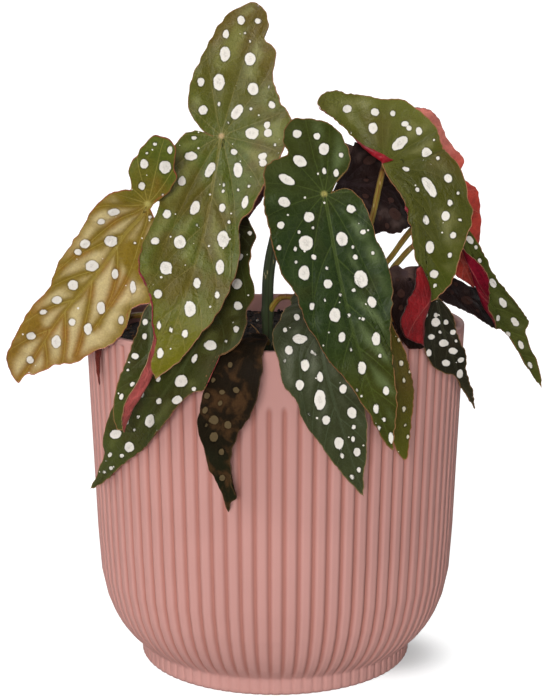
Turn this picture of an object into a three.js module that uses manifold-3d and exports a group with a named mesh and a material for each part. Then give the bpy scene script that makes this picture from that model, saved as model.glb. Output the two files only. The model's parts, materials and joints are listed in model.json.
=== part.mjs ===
// Polka dot begonia in a ribbed pot.  Millimetres, +Z up, the viewer stands at -Y.
// The origin is the middle of the pot's flat base; the pot's axis is the Z axis.

import * as THREE from 'three';
import { mergeVertices } from 'three/addons/utils/BufferGeometryUtils.js';
import Module from 'manifold-3d';

const wasm = await Module();
wasm.setup();

// ---- Driving dimensions ---------------------------------------------------------------------

const POT_HEIGHT = 127;
const RIM_RADIUS = 70;
const BASE_RADIUS = 51;
const WALL = 2.8;
const FLOOR = 4;
const RIB_COUNT = 84;
const RIB_DEPTH = 0.9;
const RIB_TURN = THREE.MathUtils.degToRad(0.5);
const LIP_HEIGHT = 1.8;
const PANEL_HEIGHT = 17;
const PANEL_RIBS = 3;
const INNER_SIDES = 42;
const FOOT_RISE = 0.2;
const CAVITY_FOOT = 45;
const CAVITY_MIDDLE = 64.6;

const SOIL_LEVEL = 120;
const SOIL_SIDES = 36;
const SOIL_FLAT_RADIUS = 42;
const SOIL_EDGE_DROP = 1;
const GAP = 0.3;
const HOLE_SIDES = 12;

const CANE_FOOT = 100;
const CANE_RADIUS = 2.1;
const CANE_SIDES = 8;
const CANE_STEPS = 10;
const STALK_RADIUS = 1.2;
const STALK_SIDES = 5;

const BLADE_THICKNESS = 0.7;
const BLADE_CLEARANCE = 0.5;

// ---- Finishes -------------------------------------------------------------------------------

function finish(colour, roughness) {
  return new THREE.MeshStandardMaterial({ color: colour, roughness, metalness: 0 });
}

const FINISHES = {
  pot: () => finish(0xcb968c, 0.55),
  soil: () => finish(0x1c1714, 0.95),
  cane: () => finish(0x4a4a26, 0.6),
  olive: () => finish(0x6e7628, 0.4),
  tan: () => finish(0x8f7b2c, 0.35),
  green: () => finish(0x2f4c22, 0.4),
  grey: () => finish(0x3c463a, 0.45),
  wine: () => finish(0x7d1c2a, 0.5),
  dark: () => finish(0x2a1c18, 0.5),
  papery: () => finish(0x7a5236, 0.8),
};

// ---- Helpers --------------------------------------------------------------------------------

const vector = (point) => new THREE.Vector3(...point);
const curveThrough = (points) => new THREE.CatmullRomCurve3(points, false, 'catmullrom', 0.5);

function flatCurve(pairs) {
  return curveThrough(pairs.map(([x, y]) => new THREE.Vector3(x, y, 0)));
}

function indexedGeometry(points, triangles) {
  const geometry = new THREE.BufferGeometry();
  const flat = points.flatMap((point) => [point.x, point.y, point.z]);
  geometry.setAttribute('position', new THREE.Float32BufferAttribute(flat, 3));
  geometry.setIndex(triangles);
  return geometry;
}

function toSolid(geometry) {
  const bare = geometry.clone();
  bare.deleteAttribute('normal');
  bare.deleteAttribute('uv');
  const merged = mergeVertices(bare, 1e-4);
  return new wasm.Manifold(
    new wasm.Mesh({
      numProp: 3,
      vertProperties: merged.attributes.position.array,
      triVerts: new Uint32Array(merged.index.array),
    }),
  );
}

function fromSolid(solid) {
  const mesh = solid.getMesh();
  const geometry = new THREE.BufferGeometry();
  geometry.setAttribute('position', new THREE.BufferAttribute(mesh.vertProperties, 3));
  geometry.setIndex(new THREE.BufferAttribute(mesh.triVerts, 1));
  return geometry;
}

function named(name, geometry, material) {
  const mesh = new THREE.Mesh(geometry, material);
  mesh.name = name;
  return mesh;
}

// ---- Pot ------------------------------------------------------------------------------------

// Height and radius of the rib crests, from the standing edge to the plain lip.
const POT_PROFILE = [
  [0, BASE_RADIUS],
  [6, BASE_RADIUS + FOOT_RISE],
  [11, 56.6],
  [19, 61.7],
  [34, 66],
  [POT_HEIGHT - PANEL_HEIGHT - LIP_HEIGHT - 1, 69.3],
  [POT_HEIGHT - PANEL_HEIGHT - LIP_HEIGHT, 69.35],
  [POT_HEIGHT - LIP_HEIGHT - 1, RIM_RADIUS],
  [POT_HEIGHT - LIP_HEIGHT, RIM_RADIUS],
  [POT_HEIGHT, RIM_RADIUS],
];

// The cavity, from the middle of the floor up to the mouth.
const CAVITY_PROFILE = [
  [FLOOR, CAVITY_FOOT],
  [12, 53],
  [20, 58.4],
  [34, 62.6],
  [POT_HEIGHT / 2, CAVITY_MIDDLE],
  [POT_HEIGHT, RIM_RADIUS - WALL],
];

function isPlain(row, rib) {
  const inLip = row >= POT_PROFILE.length - 2;
  const inPanelRows = row >= POT_PROFILE.length - 4;
  const fromFront = Math.min(rib, RIB_COUNT - rib);
  return inLip || (inPanelRows && fromFront <= (PANEL_RIBS - 1) / 2);
}

// A ring of crests and valleys: even places are crests, odd places the valley after them.
function ribRing(row) {
  const [height, crest] = POT_PROFILE[row];
  const ring = [];
  for (let place = 0; place < 2 * RIB_COUNT; place += 1) {
    const rib = Math.floor(place / 2);
    const nextRib = (rib + 1) % RIB_COUNT;
    const isValley = place % 2 === 1;
    const filled = isPlain(row, rib) && isPlain(row, nextRib);
    const radius = isValley && !filled ? crest - RIB_DEPTH : crest;
    const angle = (place / (2 * RIB_COUNT)) * 2 * Math.PI - Math.PI / 2 + RIB_TURN;
    ring.push(new THREE.Vector3(radius * Math.cos(angle), radius * Math.sin(angle), height));
  }
  return ring;
}

function plainRing(height, radius, sides) {
  const ring = [];
  for (let place = 0; place < sides; place += 1) {
    const angle = (place / sides) * 2 * Math.PI - Math.PI / 2 + RIB_TURN;
    ring.push(new THREE.Vector3(radius * Math.cos(angle), radius * Math.sin(angle), height));
  }
  return ring;
}

// Joins two rings of one count; a flipped band faces the axis.
function bandTriangles(lower, upper, count) {
  const triangles = [];
  for (let place = 0; place < count; place += 1) {
    const next = (place + 1) % count;
    triangles.push(lower + place, lower + next, upper + next);
    triangles.push(lower + place, upper + next, upper + place);
  }
  return triangles;
}

// Joins a fine ring to a coarse one that lies inside it on the lip's flat top.
function lipTriangles(fine, fineCount, coarse, coarseCount) {
  const ratio = fineCount / coarseCount;
  const triangles = [];
  for (let place = 0; place < coarseCount; place += 1) {
    const next = coarse + ((place + 1) % coarseCount);
    const half = ratio / 2;
    for (let step = 0; step < ratio; step += 1) {
      const here = fine + place * ratio + step;
      const after = fine + ((place * ratio + step + 1) % fineCount);
      triangles.push(here, after, step < half ? coarse + place : next);
    }
    triangles.push(coarse + place, fine + ((place * ratio + half) % fineCount), next);
  }
  return triangles;
}

function potGeometry() {
  const points = [new THREE.Vector3(0, 0, 0)];
  const triangles = [];
  const ringCount = 2 * RIB_COUNT;
  POT_PROFILE.forEach((unused, row) => points.push(...ribRing(row)));
  for (let place = 0; place < ringCount; place += 1) {
    triangles.push(0, 1 + ((place + 1) % ringCount), 1 + place);
  }
  for (let row = 0; row + 1 < POT_PROFILE.length; row += 1) {
    triangles.push(...bandTriangles(1 + row * ringCount, 1 + (row + 1) * ringCount, ringCount));
  }
  const mouth = points.length;
  const downward = [...CAVITY_PROFILE].reverse();
  downward.forEach(([height, radius]) => points.push(...plainRing(height, radius, INNER_SIDES)));
  const lip = mouth - ringCount;
  triangles.push(...lipTriangles(lip, ringCount, mouth, INNER_SIDES));
  for (let row = 0; row + 1 < downward.length; row += 1) {
    const upper = mouth + row * INNER_SIDES;
    triangles.push(...bandTriangles(upper, upper + INNER_SIDES, INNER_SIDES));
  }
  const floor = points.length - INNER_SIDES;
  points.push(new THREE.Vector3(0, 0, FLOOR));
  for (let place = 0; place < INNER_SIDES; place += 1) {
    triangles.push(floor + place, floor + ((place + 1) % INNER_SIDES), points.length - 1);
  }
  return indexedGeometry(points, triangles);
}

// ---- Soil -----------------------------------------------------------------------------------

// Keeps the gap to the many-sided cavity, whose flats lie inside its corner radius.
const FLAT_INSET = 0.6;

function soilProfile() {
  const inset = GAP + FLAT_INSET;
  const top = SOIL_LEVEL / POT_HEIGHT;
  const atSoil = THREE.MathUtils.lerp(CAVITY_MIDDLE, RIM_RADIUS - WALL, 2 * top - 1);
  const side = CAVITY_PROFILE.slice(1, -1).map(([height, radius]) => [radius - inset, height]);
  const outline = [
    [0, FLOOR + GAP],
    [CAVITY_FOOT - inset, FLOOR + GAP],
    ...side,
    [atSoil - inset, SOIL_LEVEL - SOIL_EDGE_DROP],
    [SOIL_FLAT_RADIUS, SOIL_LEVEL],
    [0, SOIL_LEVEL],
  ];
  return outline.map(([radius, height]) => new THREE.Vector2(radius, height));
}

// A Lathe turns about +Y, so the solid is tipped up onto +Z.
function turned(profile, sides) {
  return new THREE.LatheGeometry(profile, sides).rotateX(Math.PI / 2);
}

function soilGeometry(canes) {
  let body = toSolid(turned(soilProfile(), SOIL_SIDES));
  canes.forEach((cane) => {
    const depth = SOIL_LEVEL - CANE_FOOT + 2 * GAP;
    const radius = CANE_RADIUS + 2 * GAP;
    const hole = new THREE.CylinderGeometry(radius, radius, depth, HOLE_SIDES);
    hole.rotateX(Math.PI / 2);
    hole.translate(cane.path[0][0], cane.path[0][1], CANE_FOOT - GAP + depth / 2);
    body = body.subtract(toSolid(hole));
  });
  return fromSolid(body);
}

// ---- Leaf blades ----------------------------------------------------------------------------

// A blade is drawn flat, in millimetres: +x runs along the midrib from the navel, where the stalk
// joins, to the tip, and y runs across.  `one` and `other` are its two margins, each from the
// notch by the navel to the tip.  The sheet is then bent along `spine`, whose `navel`-th point
// carries the origin, with its upper side towards `face`; each half curls by an angle that is
// reached at `reach` mm from the midrib and is given at the lobe's end, the navel and the tip.
const SPINE_STEPS = 24;
const GENTLE = { angles: [0.2, 0.2, 0.1], reach: 14 };

class Blade {
  constructor({ spine, navel, face, plus = GENTLE, minus = GENTLE }) {
    this.plus = plus;
    this.minus = minus;
    const count = (spine.length - 1) * SPINE_STEPS;
    const curve = curveThrough(spine.map(vector));
    this.points = curve.getPoints(count);
    this.start = navel * SPINE_STEPS;
    this.tangents = this.points.map((unused, place) => this.tangentAt(place));
    this.lengths = this.measure();
    this.normals = this.carryNormal(vector(face));
  }

  tangentAt(place) {
    const before = this.points[Math.max(place - 1, 0)];
    const after = this.points[Math.min(place + 1, this.points.length - 1)];
    return after.clone().sub(before).normalize();
  }

  measure() {
    const lengths = [0];
    for (let place = 1; place < this.points.length; place += 1) {
      lengths.push(lengths[place - 1] + this.points[place].distanceTo(this.points[place - 1]));
    }
    const atNavel = lengths[this.start];
    return lengths.map((length) => length - atNavel);
  }

  carryNormal(face) {
    const normals = [];
    const level = (normal, place) => {
      const tangent = this.tangents[place];
      return normal.clone().addScaledVector(tangent, -normal.dot(tangent)).normalize();
    };
    normals[this.start] = level(face, this.start);
    for (let place = this.start + 1; place < this.points.length; place += 1) {
      normals[place] = level(normals[place - 1], place);
    }
    for (let place = this.start - 1; place >= 0; place -= 1) {
      normals[place] = level(normals[place + 1], place);
    }
    return normals;
  }

  get tip() {
    return this.lengths[this.lengths.length - 1];
  }

  // The place on the spine at length x, as an index and the part of the step after it.
  locate(x) {
    let place = 0;
    while (place < this.lengths.length - 2 && this.lengths[place + 1] < x) {
      place += 1;
    }
    const step = this.lengths[place + 1] - this.lengths[place];
    return [place, (x - this.lengths[place]) / step];
  }

  curlAt(side, x) {
    const [atLobe, atNavel, atTip] = side.angles;
    if (x < 0) {
      return THREE.MathUtils.lerp(atNavel, atLobe, Math.min(x / this.lengths[0], 1));
    }
    return THREE.MathUtils.lerp(atNavel, atTip, Math.min(x / this.tip, 1));
  }

  // The bent sheet at flat (x, y), raised by `lift` along its own normal.
  at(x, y, lift) {
    const [place, part] = this.locate(x);
    const mix = (list) => list[place].clone().lerp(list[place + 1], part);
    const normal = mix(this.normals).normalize();
    const across = normal.clone().cross(mix(this.tangents).normalize());
    across.multiplyScalar(Math.sign(y) || 1);
    const side = y < 0 ? this.minus : this.plus;
    const curl = this.curlAt(side, x) || 1e-6;
    const inArc = Math.min(Math.abs(y), side.reach);
    const beyond = Math.abs(y) - inArc;
    const turn = (curl * inArc) / side.reach;
    const bend = curl / side.reach;
    const sideways = Math.sin(turn) / bend + beyond * Math.cos(curl) - lift * Math.sin(turn);
    const upward = (1 - Math.cos(turn)) / bend + beyond * Math.sin(curl) + lift * Math.cos(turn);
    return mix(this.points).addScaledVector(across, sideways).addScaledVector(normal, upward);
  }

  // The point under the navel where a leaf stalk ends, `below` mm beneath the blade.
  under(below) {
    return this.at(0, 0, -BLADE_THICKNESS / 2 - below);
  }
}

// Flat points round the blade: along one margin to the tip and back along the other.
function rimPoints(leaf, blade, count) {
  const tip = [blade.tip, 0];
  const one = flatCurve([leaf.notch, ...leaf.one, tip]);
  const other = flatCurve([leaf.notch, ...leaf.other, tip]);
  const share = one.getLength() / (one.getLength() + other.getLength());
  const oneCount = Math.round(count * share);
  const otherCount = count - oneCount;
  const rim = [];
  for (let step = 0; step < oneCount; step += 1) {
    rim.push(one.getPointAt(step / oneCount));
  }
  for (let step = otherCount; step > 0; step -= 1) {
    rim.push(other.getPointAt(step / otherCount));
  }
  return rim;
}

// Rings about the leaf's hub, alike on both faces, closed round the rim.
function bladeGeometry(leaf, blade) {
  const { rings, places } = leaf.mesh;
  const [hubX, hubY] = leaf.hub ?? NAVEL;
  const rim = rimPoints(leaf, blade, places);
  const area = rim.reduce((sum, point, place) => {
    const next = rim[(place + 1) % places];
    return sum + point.x * next.y - next.x * point.y;
  }, 0);
  const ordered = area > 0 ? rim : rim.reverse();
  const points = [];
  const triangles = [];
  [BLADE_THICKNESS / 2, -BLADE_THICKNESS / 2].forEach((lift, face) => {
    const centre = points.length;
    points.push(blade.at(hubX, hubY, lift));
    for (let ring = 1; ring <= rings; ring += 1) {
      ordered.forEach((point) => {
        const out = ring / rings;
        const x = hubX + (point.x - hubX) * out;
        const y = hubY + (point.y - hubY) * out;
        points.push(blade.at(x, y, lift));
      });
    }
    const faceTriangles = [];
    for (let place = 0; place < places; place += 1) {
      const next = (place + 1) % places;
      faceTriangles.push([centre, centre + 1 + place, centre + 1 + next]);
      for (let ring = 1; ring < rings; ring += 1) {
        const inner = centre + 1 + (ring - 1) * places;
        const outer = inner + places;
        faceTriangles.push([inner + place, outer + place, outer + next]);
        faceTriangles.push([inner + place, outer + next, inner + next]);
      }
    }
    faceTriangles.forEach(([a, b, c]) => triangles.push(...(face === 0 ? [a, b, c] : [a, c, b])));
  });
  const topRim = 1 + (rings - 1) * places;
  const bottomRim = topRim + points.length / 2;
  for (let place = 0; place < places; place += 1) {
    const next = (place + 1) % places;
    triangles.push(bottomRim + place, bottomRim + next, topRim + next);
    triangles.push(bottomRim + place, topRim + next, topRim + place);
  }
  return indexedGeometry(points, triangles);
}

const NAVEL = [0, 0];
const LARGE = { rings: 4, places: 34 };
const SMALL = { rings: 3, places: 24 };
const FOLDED = { rings: 4, places: 34 };
const DRAPED = { rings: 6, places: 26 };

const LEAVES = [
  {
    name: 'leaf_tall_left',
    finish: 'olive',
    mesh: LARGE,
    spine: [[-7.5, -24, 241.5], [-12.5, -34, 218], [-18, -44, 196], [-23.5, -61, 164.5],
      [-31, -76, 140], [-38.5, -80, 120]],
    navel: 2,
    face: [-0.1, -0.97, 0.25],
    plus: { angles: [0.25, 0.3, 0.2], reach: 16 },
    minus: { angles: [0.25, 0.2, 0.2], reach: 16 },
    notch: [0.5, -3],
    hub: [2, 1],
    one: [[-0.5, -7.5], [1.5, -12], [7.5, -15.5], [20, -17.5], [29, -16.5], [42.5, -18.5],
      [54, -17.5], [62.5, -11], [72, -7], [77, -4], [84, -3]],
    other: [[-1.5, -7.5], [-6.5, -12.5], [-13, -14.5], [-21.5, -14.5], [-32.5, -12], [-43, -8.5],
      [-48, -4], [-50.5, 0], [-48, 4.5], [-42.5, 7], [-37.5, 6.5], [-33, 11.5], [-24, 12.5],
      [-15, 18], [-9.5, 23], [0, 23.5], [11, 21], [19, 17], [26, 14.5], [32, 11], [43.5, 14],
      [56, 13.5], [64, 12], [70.5, 9], [78.5, 6], [86, 1.5]],
  },
  {
    name: 'leaf_left_olive',
    finish: 'tan',
    mesh: LARGE,
    spine: [[-37, -67, 197], [-42, -58, 174.5], [-50.5, -51, 163.5], [-59.5, -48, 151],
      [-74, -47, 134], [-89.5, -40, 110.5]],
    navel: 1,
    face: [0.1, -0.9, 0.35],
    plus: { angles: [0.1, 0.1, 0.1], reach: 14 },
    minus: { angles: [0.1, 0.1, 0.1], reach: 14 },
    notch: [1.5, 1.5],
    hub: [2, 0],
    one: [[4.5, 5], [8.5, 10.5], [17, 16], [24.5, 19.5], [30, 20], [32.5, 17.5], [36, 16.5],
      [40.5, 19.5], [49, 19.5], [56.5, 16], [63, 13.5], [69, 7.5], [73.5, 5], [76.5, 3], [78, 1]],
    other: [[-2.5, 2.5], [-6, 5.5], [-11.5, 7.5], [-15, 6], [-21.5, 6], [-24, 3.5], [-24.5, -0.5],
      [-22.5, -3.5], [-16.5, -6.5], [-11, -8.5], [-3.5, -6.5], [-2, -9], [4, -12.5], [13.5, -13.5],
      [23, -13], [37, -12.5], [48, -9], [56.5, -10], [64.5, -9.5], [75, -8.5], [81.5, -3.5]],
  },
  {
    name: 'leaf_centre_green',
    finish: 'green',
    mesh: LARGE,
    spine: [[8, -60, 202.5], [12, -61, 190.5], [16, -64, 178], [21, -75, 151.5], [28, -87, 125.5],
      [37.5, -91, 99]],
    navel: 2,
    face: [0.05, -0.97, 0.25],
    notch: [0, 2.5],
    one: [[-0.5, 7], [2.5, 10.5], [8.5, 13], [18, 14], [26.5, 16], [36.5, 15.5], [50, 11.5],
      [64.5, 8.5], [74, 6], [82.5, 2]],
    other: [[-3.5, 5.5], [-6.5, 10.5], [-11.5, 12], [-18.5, 10.5], [-23.5, 6], [-26, 0], [-26, -4],
      [-21.5, -7.5], [-16.5, -7.5], [-15.5, -13.5], [-12, -17.5], [1.5, -20.5], [11.5, -20],
      [22.5, -19], [30.5, -15.5], [38.5, -14.5], [50.5, -11.5], [61, -7], [71, -4], [83, -2]],
  },
  {
    name: 'leaf_right_olive',
    finish: 'olive',
    mesh: LARGE,
    spine: [[35.5, -34, 208.5], [37.5, -42, 186.5], [45.5, -49, 173.5], [48.5, -55.5, 156],
      [51.5, -56, 141]],
    navel: 1,
    face: [0.15, -0.95, 0.3],
    plus: { angles: [0.25, 0.15, 0.2], reach: 14 },
    minus: { angles: [-0.9, -1, -0.6], reach: 9 },
    notch: [-1.2, -1.2],
    hub: [0, 6],
    one: [[6, -1.2], [14, -1.5], [19, -2.2], [25, -2], [31.5, -2], [37.5, -1.5], [44, -0.5]],
    other: [[-6, -5.6], [-11, -10.2], [-17, -15.6], [-22, -20.4], [-26, -24.6], [-29, -26.2],
      [-31, -23.5], [-30.5, -17], [-27, -10], [-23.5, 0], [-22.5, 8], [-18, 14], [-10, 19.5],
      [13, 21], [18, 19.5], [24, 19.5], [30.5, 16.5], [40.5, 12], [46.5, 8.5], [49.5, 4]],
  },
  {
    name: 'leaf_right_behind',
    finish: 'wine',
    mesh: SMALL,
    spine: [[55, -14, 206.5], [58.5, -10, 174], [66, -2, 155], [74.5, 4, 138]],
    navel: 1,
    face: [-0.2, 0.95, 0.1],
    notch: [-0.5, 2.5],
    one: [[2, 7], [10, 9.5], [21.5, 10], [33, 4.5]],
    other: [[-6.5, 6.5], [-21, 10], [-31, 8.5], [-32, 3.5], [-28.5, -2], [-18, -6.5],
      [-11.5, -11.5], [-6, -10], [4.5, -15.5], [17, -13], [27, -8.5], [35.5, -4.5]],
  },
  {
    name: 'leaf_right_hanging',
    finish: 'green',
    mesh: FOLDED,
    spine: [[61.5, -24, 165.5], [66, -24, 160.5], [70.5, -20, 150.5], [75, -15, 140.5],
      [85, -6, 124.5], [94, 2, 110.5], [101.5, 6, 99]],
    navel: 1,
    face: [-0.1, -0.9, 0.3],
    plus: { angles: [0.1, 0.1, 0.1], reach: 10 },
    minus: { angles: [2.5, 2.5, 1], reach: 5 },
    notch: [-1.5, 1],
    hub: [8, 1],
    one: [[-1, 3], [10.5, 5], [22, 6], [32, 7.5], [43, 8.5], [48, 8.5], [50.5, 6], [54, 5],
      [70, 3]],
    other: [[-2.5, -1.5], [0, -3], [5.5, -5.3], [10, -8.6], [14, -11], [19, -10.5], [24, -8.5],
      [29, -6], [36, -5.5], [41, -3.5], [47, -0.8], [66, -0.5]],
  },
  {
    name: 'leaf_shaded_middle',
    finish: 'dark',
    mesh: SMALL,
    spine: [[17, -19, 183], [24, -21, 179], [40, -21, 176.5], [54.5, -20, 168]],
    navel: 1,
    face: [0, -0.95, 0.3],
    notch: [-2, 0],
    hub: [8, 3],
    one: [[-8, 5.5], [-8, 12.5], [5.5, 15.5], [13.5, 14], [23, 9]],
    other: [[-1.5, -7], [2, -15], [6.5, -20], [14.5, -19], [21, -15], [26, -13.5], [29.5, -8]],
  },
  {
    name: 'leaf_red_fold',
    finish: 'wine',
    mesh: FOLDED,
    spine: [[41.5, -57.5, 155], [43, -58.5, 151.5], [45.5, -60, 146], [45.2, -61.2, 140],
      [43.8, -62.5, 134], [43.8, -64, 127]],
    navel: 1,
    face: [0, -0.95, 0.3],
    plus: { angles: [2.2, 2.5, 2.3], reach: 12 },
    minus: { angles: [0.1, 0.1, 0.1], reach: 10 },
    notch: [-1.5, 0],
    hub: [2, 0],
    one: [[-3.5, -1.5], [-2.5, -5], [3, -8], [9, -8.5], [15.5, -6.5], [20, -3.5], [23.5, -1.5]],
    other: [[-1.5, 2], [0, 6], [1, 10], [2, 13.5], [5.5, 16.5], [10, 20], [15, 22.5], [19, 23.5],
      [22.5, 21], [24.5, 13], [26, 5]],
  },
  {
    name: 'leaf_small_right',
    finish: 'green',
    mesh: DRAPED,
    spine: [[52, -35, 144.5], [55.5, -39, 140.5], [57.5, -50, 129], [64, -45, 113],
      [71, -32, 99.5]],
    navel: 1,
    face: [0.3, -0.93, 0.2],
    notch: [-1.5, 0],
    hub: [6, 0],
    one: [[3.5, 3], [9.5, 5], [20, 5], [26.5, 5.5], [32.5, 3], [42, 2]],
    other: [[-0.5, -3], [5, -5.5], [11.5, -8.5], [15, -9.5], [22.5, -8], [28, -5], [32, -1.5],
      [40, -1]],
  },
  {
    name: 'leaf_dark_point',
    finish: 'dark',
    mesh: SMALL,
    spine: [[52.5, -22, 146], [56, -22, 144], [71.5, -9, 135.5], [87, 5, 123]],
    navel: 1,
    face: [0, -0.8, 0.6],
    notch: [-2, 0],
    hub: [8, -3],
    one: [[-3, 5], [10, 5.5], [21.5, 5.5], [27, 7.5], [33.5, 4], [42, 3]],
    other: [[-1, -4], [4, -6], [11.5, -6.5], [21, -6], [29, -6.5], [38, -4.5]],
  },
  {
    name: 'leaf_olive_brown',
    finish: 'tan',
    mesh: SMALL,
    spine: [[36, -63, 141.5], [37.5, -66, 137], [41, -69, 114], [43, -65, 89]],
    navel: 1,
    face: [0.1, -0.99, 0.1],
    notch: [-1.5, 0],
    one: [[4.5, 1.5], [10.5, 3.5], [18, 4.5], [27.5, 4.5], [37.5, 3], [47.5, 1.5]],
    other: [[1, -4], [9.5, -6], [21, -5.5], [33, -4.5], [44, -2.5]],
  },
  {
    name: 'leaf_low_front',
    finish: 'grey',
    mesh: LARGE,
    spine: [[10, -46, 145], [15.5, -56, 141], [15.5, -74, 126.5], [22, -77, 102.5],
      [29.5, -72, 78.5]],
    navel: 1,
    face: [0, -0.97, 0.25],
    notch: [0, 2],
    one: [[5.5, 5], [17, 10], [29.5, 11], [39.5, 9.5], [49.5, 8], [59.5, 5], [68.5, 1.5]],
    other: [[-5, 1.5], [-10, -1.5], [-9.5, -8], [7, -14], [17, -16], [24, -14.5], [30, -14.5],
      [34.5, -12], [42, -11.5], [52.5, -8], [64, -4.5], [70.5, -2]],
  },
  {
    name: 'leaf_low_left',
    finish: 'green',
    mesh: { rings: 6, places: 40 },
    spine: [[-14, -34, 175.5], [-16, -40, 166], [-19.5, -57, 144], [-26.5, -72.5, 128],
      [-42, -63, 105], [-66.5, -31, 70]],
    navel: 1,
    face: [-0.2, -0.95, 0.2],
    notch: [0.5, -2],
    hub: [14, 4],
    one: [[-3, -8.5], [5, -12], [23.5, -12], [42.5, -12.5], [64, -13], [81.5, -12], [95, -12],
      [108, -8], [116, -4], [128, -1]],
    other: [[-7.5, -1.5], [-8.5, 2.5], [-2, 7], [5, 10.5], [10.5, 9.5], [19, 10], [26.5, 13],
      [35, 12], [41, 14], [47, 14], [49, 11.5], [51.5, 8], [56, 9], [59, 11], [64, 7.5], [78.5, 7],
      [92.5, 6.5], [110, 4], [125.5, 2.5]],
  },
  {
    name: 'leaf_narrow_left',
    finish: 'wine',
    mesh: FOLDED,
    spine: [[-38, -49, 147.5], [-41, -57, 141], [-41.5, -64, 133], [-41, -70, 125.5],
      [-43, -72, 118.5], [-47.5, -71, 111], [-52.5, -67, 100]],
    navel: 1,
    face: [-0.1, -0.97, 0.2],
    plus: { angles: [2.4, 2.5, 1.8], reach: 5 },
    minus: { angles: [0.1, 0.1, 0.1], reach: 10 },
    notch: [-2, 0],
    hub: [6, 0],
    one: [[3.5, -2.5], [11, -4], [18, -6.5], [24, -7.5], [30, -7.5], [36.5, -6], [44, -3.5]],
    other: [[6, 5], [14, 5], [22, 8], [30, 9.5], [38, 9], [46, 5]],
  },
  {
    name: 'leaf_old_hanging',
    finish: 'dark',
    mesh: DRAPED,
    spine: [[-6, -52, 131.5], [-7.5, -61, 130.5], [-10, -71, 129], [-14, -77, 119],
      [-19.5, -75, 101], [-15.5, -71, 73]],
    navel: 1,
    face: [0, -0.5, 0.85],
    notch: [-1, -1.5],
    one: [[4, -6], [12, -7], [18, -8], [25, -8.5], [34, -7], [43, -6], [52, -4], [60, -2.5]],
    other: [[-4, 0], [-3, 4], [4, 6], [12, 7], [20, 9.5], [27, 10.5], [34, 10], [42, 8], [51, 5],
      [57, 4], [61.5, 3.5], [65, 4.5], [67.5, 1.5]],
  },
  {
    name: 'leaf_young_red',
    finish: 'wine',
    mesh: { rings: 2, places: 16 },
    spine: [[-58.5, -36.5, 134.5], [-59.5, -38, 132], [-61, -40, 121], [-61, -38.5, 110]],
    navel: 1,
    face: [-0.6, -0.6, 0.5],
    notch: [-1, 0],
    one: [[1.5, -3], [5.5, -4], [10.5, -2.5]],
    other: [[1, 3.5], [4.5, 2], [9.5, 1]],
  },
  {
    name: 'leaf_rear_left',
    finish: 'green',
    mesh: SMALL,
    spine: [[-12, 14, 196], [-16, 22, 184], [-24, 46, 166], [-34, 68, 142], [-40, 78, 112]],
    navel: 1,
    face: [-0.2, 0.8, 0.5],
    notch: [0, -2],
    hub: [2, 1],
    one: [[-4, -10], [6, -19], [24, -20], [46, -15], [66, -8], [86, -3]],
    other: [[-8, -9], [-16, -4], [-15, 6], [-4, 13], [14, 17], [34, 16], [54, 13], [72, 7],
      [88, 2]],
  },
  {
    name: 'leaf_rear_right',
    finish: 'green',
    mesh: SMALL,
    spine: [[16, 8, 174], [18, 17, 166], [22, 40, 154], [28, 62, 135], [33, 75, 106]],
    navel: 1,
    face: [0.1, 0.8, 0.5],
    notch: [0, 2],
    hub: [2, -1],
    one: [[-4, 10], [6, 18], [24, 19], [44, 14], [62, 8], [76, 3]],
    other: [[-8, 9], [-13, 4], [-12, -6], [-2, -13], [16, -17], [34, -15], [52, -11], [70, -6]],
  },
  {
    name: 'stipule',
    finish: 'papery',
    mesh: { rings: 2, places: 12 },
    spine: [[-5.3, -30.6, 121.5], [-5.3, -30.6, 124], [-6.2, -30.8, 127.5], [-8.5, -31.3, 130]],
    navel: 1,
    face: [-1, -0.2, 0.1],
    notch: [-1.5, 0],
    one: [[-1, -1.8], [2, -2.6], [5, -1.8]],
    other: [[-1, 1.8], [2, 2.4], [5, 2]],
  },
];

const BLADES = new Map(LEAVES.map((leaf) => [leaf.name, new Blade(leaf)]));

// ---- Canes with their leaf stalks -----------------------------------------------------------

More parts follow.
